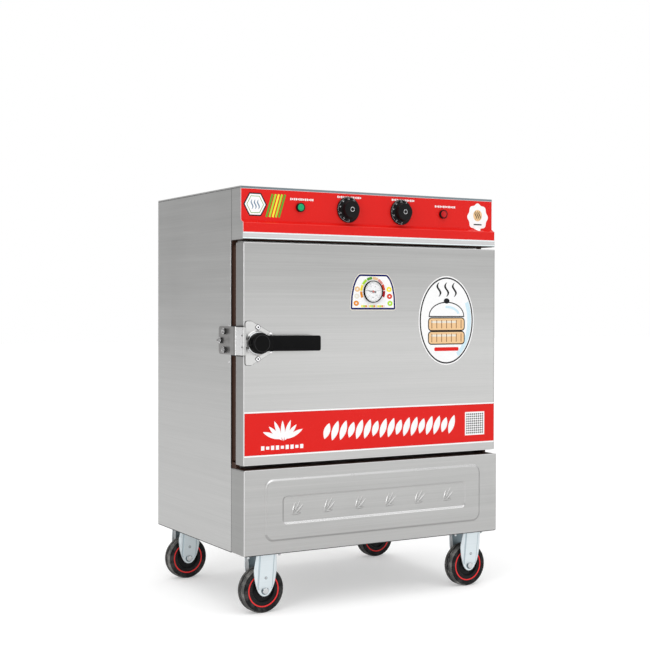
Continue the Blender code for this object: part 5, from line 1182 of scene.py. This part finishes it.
def makeKnob(name, body, joint, limit):
    k = knobSet
    low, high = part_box(name)
    centre = (axisAt[joint].x, axisAt[joint].z)
    face, back = low.y + 0.0006, fasciaFace - 0.0012
    rim = back - 0.0034
    cap, skirt, ring = k["capRadius"], k["skirtRadius"], k["ringRadius"]
    raw = [(0.0046, face), (cap - 0.0006, face), (cap, rim - 0.0034), (cap + 0.0010, rim - 0.0026)]
    raw += [(skirt - 0.0022, rim - 0.0010), (skirt, rim + 0.0012), (skirt, back), (0.0031, back)]
    raw += [(0.0031, high.y), (0, high.y)]
    profile = [(0, face + 0.0005)] + eased(raw, 0.0013, False, 3)
    shell = {"slot": "black_plastic", "replaces": name}
    turned(name + "_shell", "blackPlastic", body, "Y", centre, profile, k["steps"], **shell)
    inner = ring - k["ringWall"]
    loop = [(inner, face + 0.0004), (inner, low.y + 0.0003), (inner + 0.0004, low.y), (ring - 0.0004, low.y)]
    loop += [(ring, low.y + 0.0003), (ring, face + 0.0004)]
    turned(name + "_ring", "chromeMetal", body, "Y", centre, loop + loop[:1], 48)

    def around(radius, angle):
        return (centre[0] + radius * math.cos(angle), centre[1] + radius * math.sin(angle))

    def draw(work):
        for i in range(31):
            angle = math.radians(k["scaleStart"] + k["scaleSweep"] * i / 30)
            start, width = (0.0276, 0.0004) if i % 5 else (0.0262, 0.0007)
            mark = bar(around(start, angle), around(0.0290, angle), width)
            slab(work, "Y", mark, rim - 0.00125, rim + 0.0006)
        for i in range(7):
            angle = math.radians(k["scaleStart"] + k["scaleSweep"] * i / 6)
            u, v = around(0.0243, angle)
            words = str(int(limit * (6 - i) / 6))
            addNumber(work, words, (u, rim - 0.00205, v), 0.0040, 0.0001, math.pi / 2 - angle)

    piece(name + "_scale", "markInk", body, draw)


makeKnob("knob_thermostat", "thermostat_knob", "thermostat_turn", 120)
makeKnob("knob_timer", "timer_knob", "timer_turn", 90)
print("knobs made")


# Lamps: lens caps that stay inside the bezel, and the bezel's rounded ring

def makeLampTrim(name, finish):
    low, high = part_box(name + "_bezel")
    lensLow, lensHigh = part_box(name + "_lens")
    centre = ((low.x + high.x) / 2, (low.z + high.z) / 2)
    outer = (high.x - low.x) / 2 - 0.0001
    radius = (lensHigh.x - lensLow.x) / 2
    cap = [(0, lensLow.y)] + arcLine((0, lensLow.y + 0.0026), radius, 0.0026, -90, 0, 8)[1:]
    cap.append((radius, low.y + 0.003))
    turned(name + "_dome", finish, "cabinet", "Y", centre, cap, 48, replaces=name + "_lens")
    ring = [(radius + 0.0004, low.y + 0.0026), (radius + 0.0006, low.y), (outer, low.y + 0.0002)]
    ring = eased(ring + [(outer, fasciaFace - 0.0009)], 0.0008, False)
    turned(name + "_ring", "blackPlastic", "cabinet", "Y", centre, ring)


makeLampTrim("lamp_heating", "greenLens")
makeLampTrim("lamp_power", "redLens")
print("lamps made")


# Latch: handle, plate screws, collar, and the keeper's folds and nuts

latchSet = {
    "leverHeight": 0.0345,
    "leverThickness": 0.0120,
    "leverEdge": 0.0026,
    "leverReach": 0.0026,  # past the CAD's tip
    "faceDrop": 0.0015,
    "hubRadius": 0.0238,
    "groove": 0.0184,
    "plateProud": 0.0023,
    "screwHalf": 0.0070,
    "screws": ((0.46, 0.36), (0.46, -0.36)),  # shares of the plate's width and height
    "rivets": ((0.94, 0.20), (0.94, -0.20)),
}
keeperSet = {
    "bridge": 0.0027,  # from its outermost point to the plate that spans the gap
    "ribs": {"keeper_shade_rib": ("keeperShadeSteel", 0.0275, 0.0080, 0.0018),  # finish, place, reach, rise
             "keeper_highlight_rib": ("foldHighlightSteel", 0.0180, 0.0024, 0.0019)},
    "bolts": ((0.032, 0.021), (0.032, -0.021), (0.013, 0.0)),
    "nut": 0.0138,  # across flats
    "nutHeight": 0.0048,
    "holeSpread": 0.0130,
    "edge": 0.0012,
}


def makeHandle():
    s = latchSet
    low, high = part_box("latch_handle")
    u, v = centre = (axisAt["latch_turn"].x, axisAt["latch_turn"].z)
    front, back = low.y, high.y
    r, groove = s["hubRadius"], s["groove"]
    raw = [(groove - 0.0004, front + 0.0001), (groove, front + 0.0007), (groove + 0.0008, front + 0.0007)]
    raw += [(groove + 0.0012, front + 0.0001), (r - 0.0048, front + 0.0003), (r - 0.0010, front + 0.0032)]
    raw += [(r, front + 0.0075), (r, back - 0.0010), (r - 0.0012, back), (0.0082, back)]
    profile = [(0, front)] + eased(raw, 0.0012, False, 3) + [(0, back)]
    more = {"slot": "black_plastic", "replaces": "latch_handle"}
    turned("latch_hub", "gripPlastic", "latch", "Y", centre, profile, 96, **more)
    half, face = s["leverHeight"] / 2, front + s["faceDrop"]
    tip, rear = high.x + s["leverReach"], face + s["leverThickness"]
    corners = [(u, v - half), (tip, v - half - 0.0010), (tip, v + half - 0.0008), (u, v + half)]
    outline = eased(corners, 0.0045, steps=6)
    sections = softRim(outline, s["leverEdge"], face, 1, 5)
    sections += softRim(outline, s["leverEdge"], rear, -1, 5)[::-1]
    piece("latch_lever", "gripPlastic", "latch", lambda work: loft(work, "Y", sections), crease=50, **more)
    top = half - 0.0004
    shoulder = [(u + 0.012, v - top), (u + 0.0245, v - top), (u + 0.0275, v)]
    shoulder += [(u + 0.0245, v + top), (u + 0.012, v + top)]
    neck = [("Y", eased(shoulder, 0.004), face - 0.0008, face + 0.006, 0.0008)]
    plates("latch_neck", "gripPlastic", "latch", neck, slot="black_plastic", crease=50)
    # a ring of lighter plastic in the hub's groove: painted highlight
    loop = [(groove - 0.0006, front + 0.0009), (groove - 0.0002, front + 0.0001)]
    loop += [(groove + 0.0006, front + 0.0001), (groove + 0.0010, front + 0.0009)]
    turned("latch_hub_ring", "grooveHighlightPlastic", "latch", "Y", centre, loop + loop[:1], 96)


def makePlateTrim():
    s = latchSet
    low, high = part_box("latch_plate")
    pivot = axisAt["latch_turn"]
    plateFace = doorFace - s["plateProud"]
    plate = nodes["latch_plate"]
    spots = [plate.matrix_world @ vert.co for vert in plate.data.vertices]
    # a dark plate a little larger than the latch plate, behind it: painted shadow round its outline
    shadowSeat = shrunk(hullLine([(round(at.x, 5), round(at.z, 5)) for at in spots]), -0.0009)
    plates("latch_plate_shadow", "seamShade", "door", [("Y", shadowSeat, doorFace - 0.0004, doorFace + 0.0002)])

    def diamond(centre, reach):
        return eased(ovalLine(centre, reach, reach, 4), reach * 0.34, steps=5)

    def spread(shares):
        return [(low.x + u * (high.x - low.x), pivot.z + v * (high.z - low.z)) for u, v in shares]

    def heads(work):
        for centre in spread(s["screws"]):
            slab(work, "Y", diamond(centre, s["screwHalf"]), plateFace - 0.0019, plateFace + 0.0004, 0.0012)
        for centre in spread(s["rivets"]):
            head(work, "Y", centre, "dome", plateFace, -1, 28)

    piece("latch_screws", "screwSteel", "door", heads)
    # a black ring round each screw head and a black square in its socket: painted shade
    shades = []
    for u, v in spread(s["screws"]):
        shades.append(("Y", diamond((u, v), s["screwHalf"] + 0.0013), plateFace - 0.0002, plateFace + 0.0004))
        socket = oblong(u - 0.0020, v - 0.0020, u + 0.0020, v + 0.0020)
        shades.append(("Y", socket, plateFace - 0.00195, plateFace - 0.001))
    plates("latch_screw_shadows", "blackInk", "door", shades)
    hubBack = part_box("latch_handle")[1].y
    collar = [(0.0236, hubBack + 0.0008), (0.0250, hubBack + 0.0010), (0.0272, plateFace - 0.0006)]
    collar = eased(collar + [(0.0276, plateFace + 0.0004)], 0.0012, False)
    turned("latch_collar", "chromeMetal", "door", "Y", (pivot.x, pivot.z), collar, 96)


def makeKeeperTrim():
    k = keeperSet
    bridge = keeperLow.x + k["bridge"]
    foot = bodyLeft - 0.0003 - 0.0025  # the foot's outer face
    middle = (keeperLow.z + keeperHigh.z) / 2
    low, high = keeperLow.z + k["edge"], keeperHigh.z - k["edge"]
    edgeShadows = []  # dark strips just above and below the bridge: painted shadow along its edges
    for z in (keeperLow.z, keeperHigh.z):
        line = oblong(doorFace - 0.0130, z - 0.0018, doorFace + 0.0420, z + 0.0018)
        edgeShadows.append(("X", line, bridge + 0.0012, bridge + 0.0036))
    plates("keeper_edge_shadows", "seamShade", "cabinet", edgeShadows)
    curl = (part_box("latch_cam")[0].x - bridge) / 2 - 0.0005  # radius of the curled front
    nose = (bridge + curl, keeperLow.y + curl)
    skin = [arcLine(nose, radius, radius, 180, 295, 12) for radius in (curl + 0.00012, curl - 0.0005)]
    plates("keeper_nose", "latchSteel", "cabinet", [("Z", skin[0] + skin[1][::-1], low, high)])
    front = oblong(nose[1], low, doorFace + 0.0205, high)
    # a lighter steel over the keeper's front: painted highlight
    plates("keeper_face", "foldHighlightSteel", "cabinet", [("X", front, bridge - 0.00025, bridge + 0.0004)])
    for label, (finish, along, reach, rise) in k["ribs"].items():  # rounded ribs up the keeper, one in a darker steel for painted shade, one in a lighter steel for painted highlight
        y, hidden = doorFace + along, bridge + 0.0006
        line = arcLine((y, bridge + 0.0002), reach, -rise, 0, 180, 12)
        line = [(y + reach + 0.0004, hidden)] + line + [(y - reach - 0.0004, hidden)]
        rib = ("Z", [(x, y) for y, x in line], keeperLow.z + 0.0003, keeperHigh.z - 0.0003)
        plates(label, finish, "cabinet", [rib])

    def bolts(work):  # nuts and domed bolt ends on its foot
        x = keeperLow.x
        end = [(0, x + 0.0001), (0.0020, x + 0.0004), (0.0034, x + 0.0016), (0.0034, foot - 0.0044)]
        for back, above in k["bolts"]:
            centre = (keeperHigh.y - back, middle + above)
            hexHead(work, "X", centre, k["nut"], foot - k["nutHeight"], foot, 0.2)
            lathe(work, "X", centre, end, 24)

    nuts = piece("keeper_bolts", "screwSteel", "cabinet", bolts)
    nuts.data.materials.append(finishes["nutShadeSteel"])
    # the nuts' faces turned towards the front are in a near-black steel: painted shade
    for side in nuts.data.polygons:
        if side.normal.y < -0.3 and side.center.x > foot - 0.0046:
            side.material_index = 1

    # black discs where the two holes are: painted shade in place of their depth
    def holes(work):
        profile = [(0, bridge - 0.0003), (0.0023, bridge - 0.0003), (0.0023, bridge + 0.0006)]
        for side in (-1, 1):
            lathe(work, "X", (doorFace - 0.0140, middle + side * k["holeSpread"]), profile, 24)

    piece("keeper_holes", "blackInk", "cabinet", holes)


makeHandle()
makePlateTrim()
makeKeeperTrim()
print("latch made")


# Casters: pressed fork, tread, red ring, core, axle bolt

casterSet = {
    "legTop": 0.0245,  # half width of a leg under its plate
    "legHalf": 0.0285,  # at its shoulder
    "spanTop": 0.0325,  # from the middle to a leg's outer face, under the plate
    "spanAxle": 0.0210,  # and down at the axle
    "endRadius": 0.0128,
    "shoulder": 0.038,
    "sheet": 0.0023,
    "plate": 0.003,
    "plateHalf": 0.0449,
    "panelHalf": 0.0162,  # of the raised middle
    "panelProud": 0.0018,
    "columns": (0.0, 0.0060, 0.0115, 0.0152, 0.0162, 0.0174, 0.0186, 0.0198),  # across half a leg
    "pip": 0.030,  # the dimple, above the axle
    "boltSpread": (0.0395, 0.0165),
    "hubHalf": 0.0175,
    "ringRadius": 0.0376,
    "ringWidth": 0.0018,
    "rimRadius": 0.0337,
    "tyreSteps": 112,
    "treadRows": 15,
    "treadDepth": 0.0011,
}


def makeFork(name):
    c = casterSet
    axle = axisAt["wheel_spin_" + name]
    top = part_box("caster_fork_" + name)[1].z
    plateLow = top - c["plate"]
    shoulderZ = plateLow - c["shoulder"]
    lowest = axle.z - c["endRadius"]
    rearLimit = sideHigh.y - axle.y - 0.001

    def spanAt(z, side):  # the legs lean in towards the axle
        share = max(0.0, (z - axle.z) / (plateLow - axle.z))
        span = c["spanAxle"] + (c["spanTop"] - c["spanAxle"]) * share
        return min(span, rearLimit) if side > 0 else span

    def halfAt(z):
        if z >= shoulderZ:
            return c["legHalf"] + (c["legTop"] - c["legHalf"]) * (z - shoulderZ) / c["shoulder"]
        share = max(0.0, (z - lowest) / (shoulderZ - lowest))
        return c["legHalf"] * (1 - (1 - share) ** 1.7) ** 0.44

    def reliefAt(column, x, z):
        fade = min(1.0, max(0.0, (z - axle.z - 0.002) / 0.008)) * min(1.0, max(0.0, (plateLow - z) / 0.006))
        raised = c["panelProud"] * fade if column <= c["panelHalf"] else 0.0
        flank = max(0.0, abs(x) - 0.0205) / 0.0080
        boss = max(0.0, 1.0 - ((x * x + (z - axle.z) ** 2) / 0.0115 ** 2) ** 2) * 0.0006
        return raised + boss - 0.0030 * flank ** 1.6

    def columnsAt(reach):  # (column, x) across a leg
        scale = min(1.0, reach / 0.0215)
        spots = [(column, column * scale) for column in c["columns"]]
        start = c["columns"][-1] * scale
        spots += [(start, start + (reach - start) * i / 6) for i in range(1, 7)]
        return [(column, -x) for column, x in reversed(spots[1:])] + spots

    levels = [plateLow - (plateLow - axle.z) * i / 26 for i in range(27)]
    levels += [axle.z - c["endRadius"] * math.sin(math.pi / 2 * i / 10) for i in range(1, 11)]

    def leg(work, side):
        grids = ([], [])  # the outer and the inner face
        for z in levels:
            spots = columnsAt(max(halfAt(z), 0.0003))
            y = [axle.y + side * (spanAt(z, side) + reliefAt(*at, z)) for at in spots]
            for grid, depth in zip(grids, (0.0, c["sheet"])):
                row = [(axle.x + at[1], y[j] - side * depth, z) for j, at in enumerate(spots)]
                grid.append([work.verts.new(corner) for corner in row])
        count = len(grids[0][0]) - 1
        for index, grid in enumerate(grids):
            for near, far in zip(grid, grid[1:]):
                for j in range(count):
                    face = work.faces.new((near[j], near[j + 1], far[j + 1], far[j]))
                    # the inner face's outer wings are in a bright matt zinc, painted light, and its middle in
                    # a dark zinc, painted shade; the outer face's grooves are in a darker zinc, painted shade
                    away = abs(j + 0.5 - count / 2)  # columns out from the middle
                    groove = 4 < away < 7 and near[j].co.z > axle.z + 0.006
                    face.material_index = (2 if away > 5 else 3) if index else int(groove)
        outer, inner = grids
        for i in range(len(levels) - 1):
            for j in (0, count):
                work.faces.new((outer[i][j], outer[i + 1][j], inner[i + 1][j], inner[i][j]))
        for i in (0, len(levels) - 1):
            for j in range(count):
                work.faces.new((outer[i][j], outer[i][j + 1], inner[i][j + 1], inner[i][j]))

    def draw(work):
        half = c["plateHalf"]
        low, high = axle.y - spanAt(plateLow, -1), axle.y + spanAt(plateLow, 1)
        plate = eased(oblong(axle.x - half, low, axle.x + half, high), 0.004)
        slab(work, "Z", plate, top, plateLow, 0.0006)
        for side in (-1, 1):
            leg(work, side)

    fork = piece("fork_" + name, "zincPlate", "cabinet", draw, "zinc_plate", 50, "caster_fork_" + name)
    for finish in ("zincShade", "zincInnerLit", "zincDeepShade"):
        fork.data.materials.append(finishes[finish])
    outside = c["spanAxle"] + 0.0008
    pip = (axle.x, axle.z + c["pip"])
    panelAt = {side: axle.y + side * (spanAt(pip[1], side) + c["panelProud"]) for side in (-1, 1)}

    # a washer behind each axle bolt head and a seat under each dimple, in a dark steel: painted shadow round
    # them
    def washers(work):
        for side in (-1, 1):
            head(work, "Y", pip, "shadowSeat", panelAt[side], side, 28)
            head(work, "Y", (axle.x, axle.z), "washer", axle.y + side * outside, side, 36)

    def bolts(work):
        centre = (axle.x, axle.z)
        for side in (-1, 1):
            head(work, "Y", pip, "dimple", panelAt[side], side)
            face = axle.y + side * outside
            turn = 0.3 if side < 0 else 0.1
            hexHead(work, "Y", centre, 0.0132, face + side * 0.0052, face + side * 0.0008, turn)
        start, end = axle.y - outside, axle.y + outside
        lathe(work, "Y", centre, [(0, start), (0.0049, start), (0.0049, end), (0, end)], 24)
        across, along = c["boltSpread"]
        for x in (axle.x - across, axle.x + across):
            for y in (axle.y - along, axle.y + along):
                hexHead(work, "Z", (x, y), 0.0110, plateLow - 0.0085, plateLow + 0.0002)
                head(work, "Z", (x, y), "stem", plateLow, -1, 16)

    piece("fork_washers_" + name, "rimShadeSteel", "cabinet", washers)
    piece("fork_bolts_" + name, "boltSteel", "cabinet", bolts, "zinc_plate", replaces="caster_fork_" + name)


def makeWheel(name):
    c = casterSet
    body = "wheel_" + name
    axle = axisAt["wheel_spin_" + name]
    centre = (axle.x, axle.z)
    low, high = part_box("tyre_" + name)
    half = (high.y - low.y) / 2
    radius = axle.z - 0.00002
    inner = half - 0.0068
    shoulder = [(0.0, inner), (0.0002, half - 0.0045), (0.0012, half - 0.0022)]  # drop, along the axle
    shoulder += [(0.0030, half - 0.0006), (0.0056, half)]
    band = c["ringRadius"]
    wall = [(band + 0.0014, half - 0.0001), (band + 0.0004, half - 0.0007), (0.0336, half - 0.0012)]
    side = [(radius - drop, along, False) for drop, along in shoulder]
    side += [(r, along, False) for r, along in wall]
    tread = [(radius, -inner + 2 * inner * i / c["treadRows"], True) for i in range(1, c["treadRows"])]
    profile = [(r, -along, cut) for r, along, cut in reversed(side)] + tread + side
    steps = c["tyreSteps"]

    def sunkAt(along, i):  # the zigzag grooves and the middle one
        zig = (abs((i % 8) / 8.0 - 0.5) * 4 - 1) * inner * 0.30
        if abs(along) < 0.0009:
            return 0.0009
        near = min(abs(along - middle - zig) for middle in (-inner * 0.5, inner * 0.5))
        return c["treadDepth"] if near < 0.0011 else 0.0

    def draw(work):
        rings = []
        for r, along, cut in profile:
            ring = []
            for i in range(steps):
                angle = math.tau * i / steps
                reach = r - (sunkAt(along, i) if cut else 0.0)
                at = (axle.x + reach * math.cos(angle), axle.y + along, axle.z + reach * math.sin(angle))
                ring.append(work.verts.new(at))
            rings.append(ring)
        for near, far in zip(rings, rings[1:] + rings[:1]):
            for i in range(steps):
                j = (i + 1) % steps
                work.faces.new((near[i], near[j], far[j], far[i]))

    tyre = piece("wheel_tyre_" + name, "tyreRubber", body, draw, "tyre_rubber", 32, "tyre_" + name)
    tyre.data.materials.append(finishes["treadRubber"])
    verts = tyre.data.vertices
    for face in tyre.data.polygons:
        middle = sum((verts[v].co for v in face.vertices), Vector()) / len(face.vertices)
        away = math.hypot(middle.x - axle.x, middle.z - axle.z)
        sunk = abs(middle.y - axle.y) < inner and away < radius - 0.0003
        if away > radius - 0.0024 and not sunk:
            face.material_index = 1

    def rings(work):
        wide, narrow = band + 0.0010, band - c["ringWidth"]
        for side in (-1, 1):
            face, under = axle.y + side * (half + 0.00035), axle.y + side * (half - 0.0022)
            edge = face - side * 0.0003
            loop = [(narrow, under), (narrow, edge), (narrow + 0.0005, face), (wide - 0.0005, face)]
            loop += [(wide, edge), (wide, under), (narrow, under)]
            lathe(work, "Y", centre, loop, 96)

    piece("wheel_ring_" + name, "ringPlastic", body, rings)
    coreLow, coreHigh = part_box("wheel_core_" + name)
    hubHalf = min(c["hubHalf"], (coreHigh.y - coreLow.y) / 2)
    rim = c["rimRadius"] + 0.0012
    flank = [(0.0054, hubHalf), (0.0138, hubHalf), (0.0142, 0.0075), (0.0262, 0.0068)]
    flank += [(0.0276, half - 0.0012), (rim, half - 0.0010)]
    raw = [(r, -along) for r, along in flank] + flank[::-1]
    core = [(r, axle.y + along) for r, along in eased(raw, 0.0010, False, 2)]
    hub = {"slot": "wheel_plastic", "replaces": "wheel_core_" + name}
    turned("wheel_hub_" + name, "wheelPlastic", body, "Y", centre, core + core[:1], **hub)


for corner in ("front_left", "front_right", "rear_left", "rear_right"):
    makeFork(corner)
    makeWheel(corner)
print("casters made")


# Small trim: dark strips in the gaps for painted shade, fixings on the side, hinge and back screws

trimSet = {
    "seamWidth": 0.0009,
    # height of the dark strips of painted shade along the lower edges
    "edgeShadeHeight": 0.0017,
    "rivets": ((0.012, 0.038), (0.012, -0.044), (0.004, 0.036)),  # behind the seam, above the latch
    "hingeShares": (0.18, 0.82),
    "hingeDepths": (0.45, 0.80),
    "leafDepth": 0.038,
    "backRows": ((-0.335, -0.168, 0.0, 0.168, 0.335), (0.34, 0.55, 0.76)),  # across; heights at the sides
    "backSides": 0.338,
}


def makeTrim():
    t = trimSet
    top, under = baseHigh.z, fasciaLow.z
    inside, rear = seam + 0.001, sideHigh.y - 0.001
    # strips of dark rubber laid in the gaps round the door: painted shade
    gapShades = []
    for front, z, drop in ((doorFace + 0.001, top, 1), (doorFace + 0.004, under, -1)):
        strip = oblong(doorLow.x + 0.004, front, doorHigh.x - 0.004, seam - 0.001)
        gapShades.append(("Z", strip, z + drop * 0.0008, z - drop * 0.0002))
    for side in (-1, 1):
        edges = sorted((side * (bodyRight - 0.0010), side * (bodyRight - 0.0150)))
        gapShades.append(("Y", oblong(edges[0], top, edges[1], under), seam - 0.0002, seam + 0.0002))
        strip = oblong(doorHigh.y + 0.0005, top, seam - 0.0004, doorLow.z + 0.0030)
        gapShades.append(("X", strip, side * (bodyRight - 0.0014), side * (bodyRight - 0.0100)))
    plates("gap_shades", "gasketRubber", "cabinet", gapShades)
    seams, lowerShades = [], []  # the dark joints where the folded sheets meet, with a wider band of painted shade beside the door gap, and dark strips of painted shade along the lower edges
    half = t["seamWidth"] / 2
    joints = [
        oblong(seam - half, under, seam + half, topLow.z),
        oblong(seam - half, bodyLow, seam + half, top),
        # beside the door gap: a wider band of painted shade
        oblong(seam - half, top, seam + foldSet["setBack"] - 0.0006, under),
        oblong(overlayHigh.y, sideHigh.z - 0.0010, rear, sideHigh.z - 0.0003),
    ]
    # dark strips along the lower edges: painted shade
    shadeLow, shadeHigh = bodyLow + 0.0001, bodyLow + t["edgeShadeHeight"]
    for side in (-1, 1):
        back = side * (bodyRight - 0.0004)
        seams += [("X", joint, side * (bodyRight + 0.00012), back) for joint in joints]
        lowerShades.append(("X", oblong(inside, shadeLow, rear, shadeHigh), side * (bodyRight + 0.00010), back))
    frontShade = oblong(baseLow.x + 0.003, shadeLow, baseHigh.x - 0.003, shadeHigh)
    lowerShades.append(("Y", frontShade, baseFace - 0.0001, baseFace + 0.0014))
    plates("sheet_seams", "seamShade", "cabinet", seams)
    plates("lower_edge_shades", "hemShade", "cabinet", lowerShades)
    lidRim = oblong(bodyLeft + 0.0006, overlayHigh.z + 0.0002, bodyRight - 0.0006, topHigh.z - 0.0006)
    rimRow = ("Y", lidRim, fasciaFace - 0.0001, fasciaFace + 0.0008, 0.0002)
    plates("top_rim", "rimShadeSteel", "cabinet", [rimRow])  # painted dark reflection: a darker steel than the panels under it


def makeFixings():
    t = trimSet

    def rivets(work):
        for y, z in t["rivets"]:
            head(work, "X", (seam + y, axisAt["latch_turn"].z + z), "rivet", bodyLeft, -1)

    def hingeScrews(work):
        for name in ("upper", "lower"):
            low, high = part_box(f"hinge_{name}_frame_leaf")
            for share in t["hingeShares"]:
                for depth in t["hingeDepths"]:
                    centre = (seam + 0.0014 + t["leafDepth"] * depth, low.z + (high.z - low.z) * share)
                    head(work, "X", centre, "hinge", bodyRight + 0.0028, 1)

    def backScrews(work):
        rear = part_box("back_panel")[1].y
        across, heights = t["backRows"]
        spots = [(x, z) for x in across for z in (bodyLow + 0.014, topHigh.z - 0.020)]
        spots += [(x, z) for z in heights for x in (-t["backSides"], t["backSides"])]
        for centre in spots:
            head(work, "Y", centre, "back", rear, 1)

    piece("side_rivets", "screwSteel", "cabinet", rivets)
    piece("hinge_screws", "screwSteel", "cabinet", hingeScrews)
    piece("back_screws", "screwSteel", "cabinet", backScrews)


makeTrim()
makeFixings()
print("trim made")
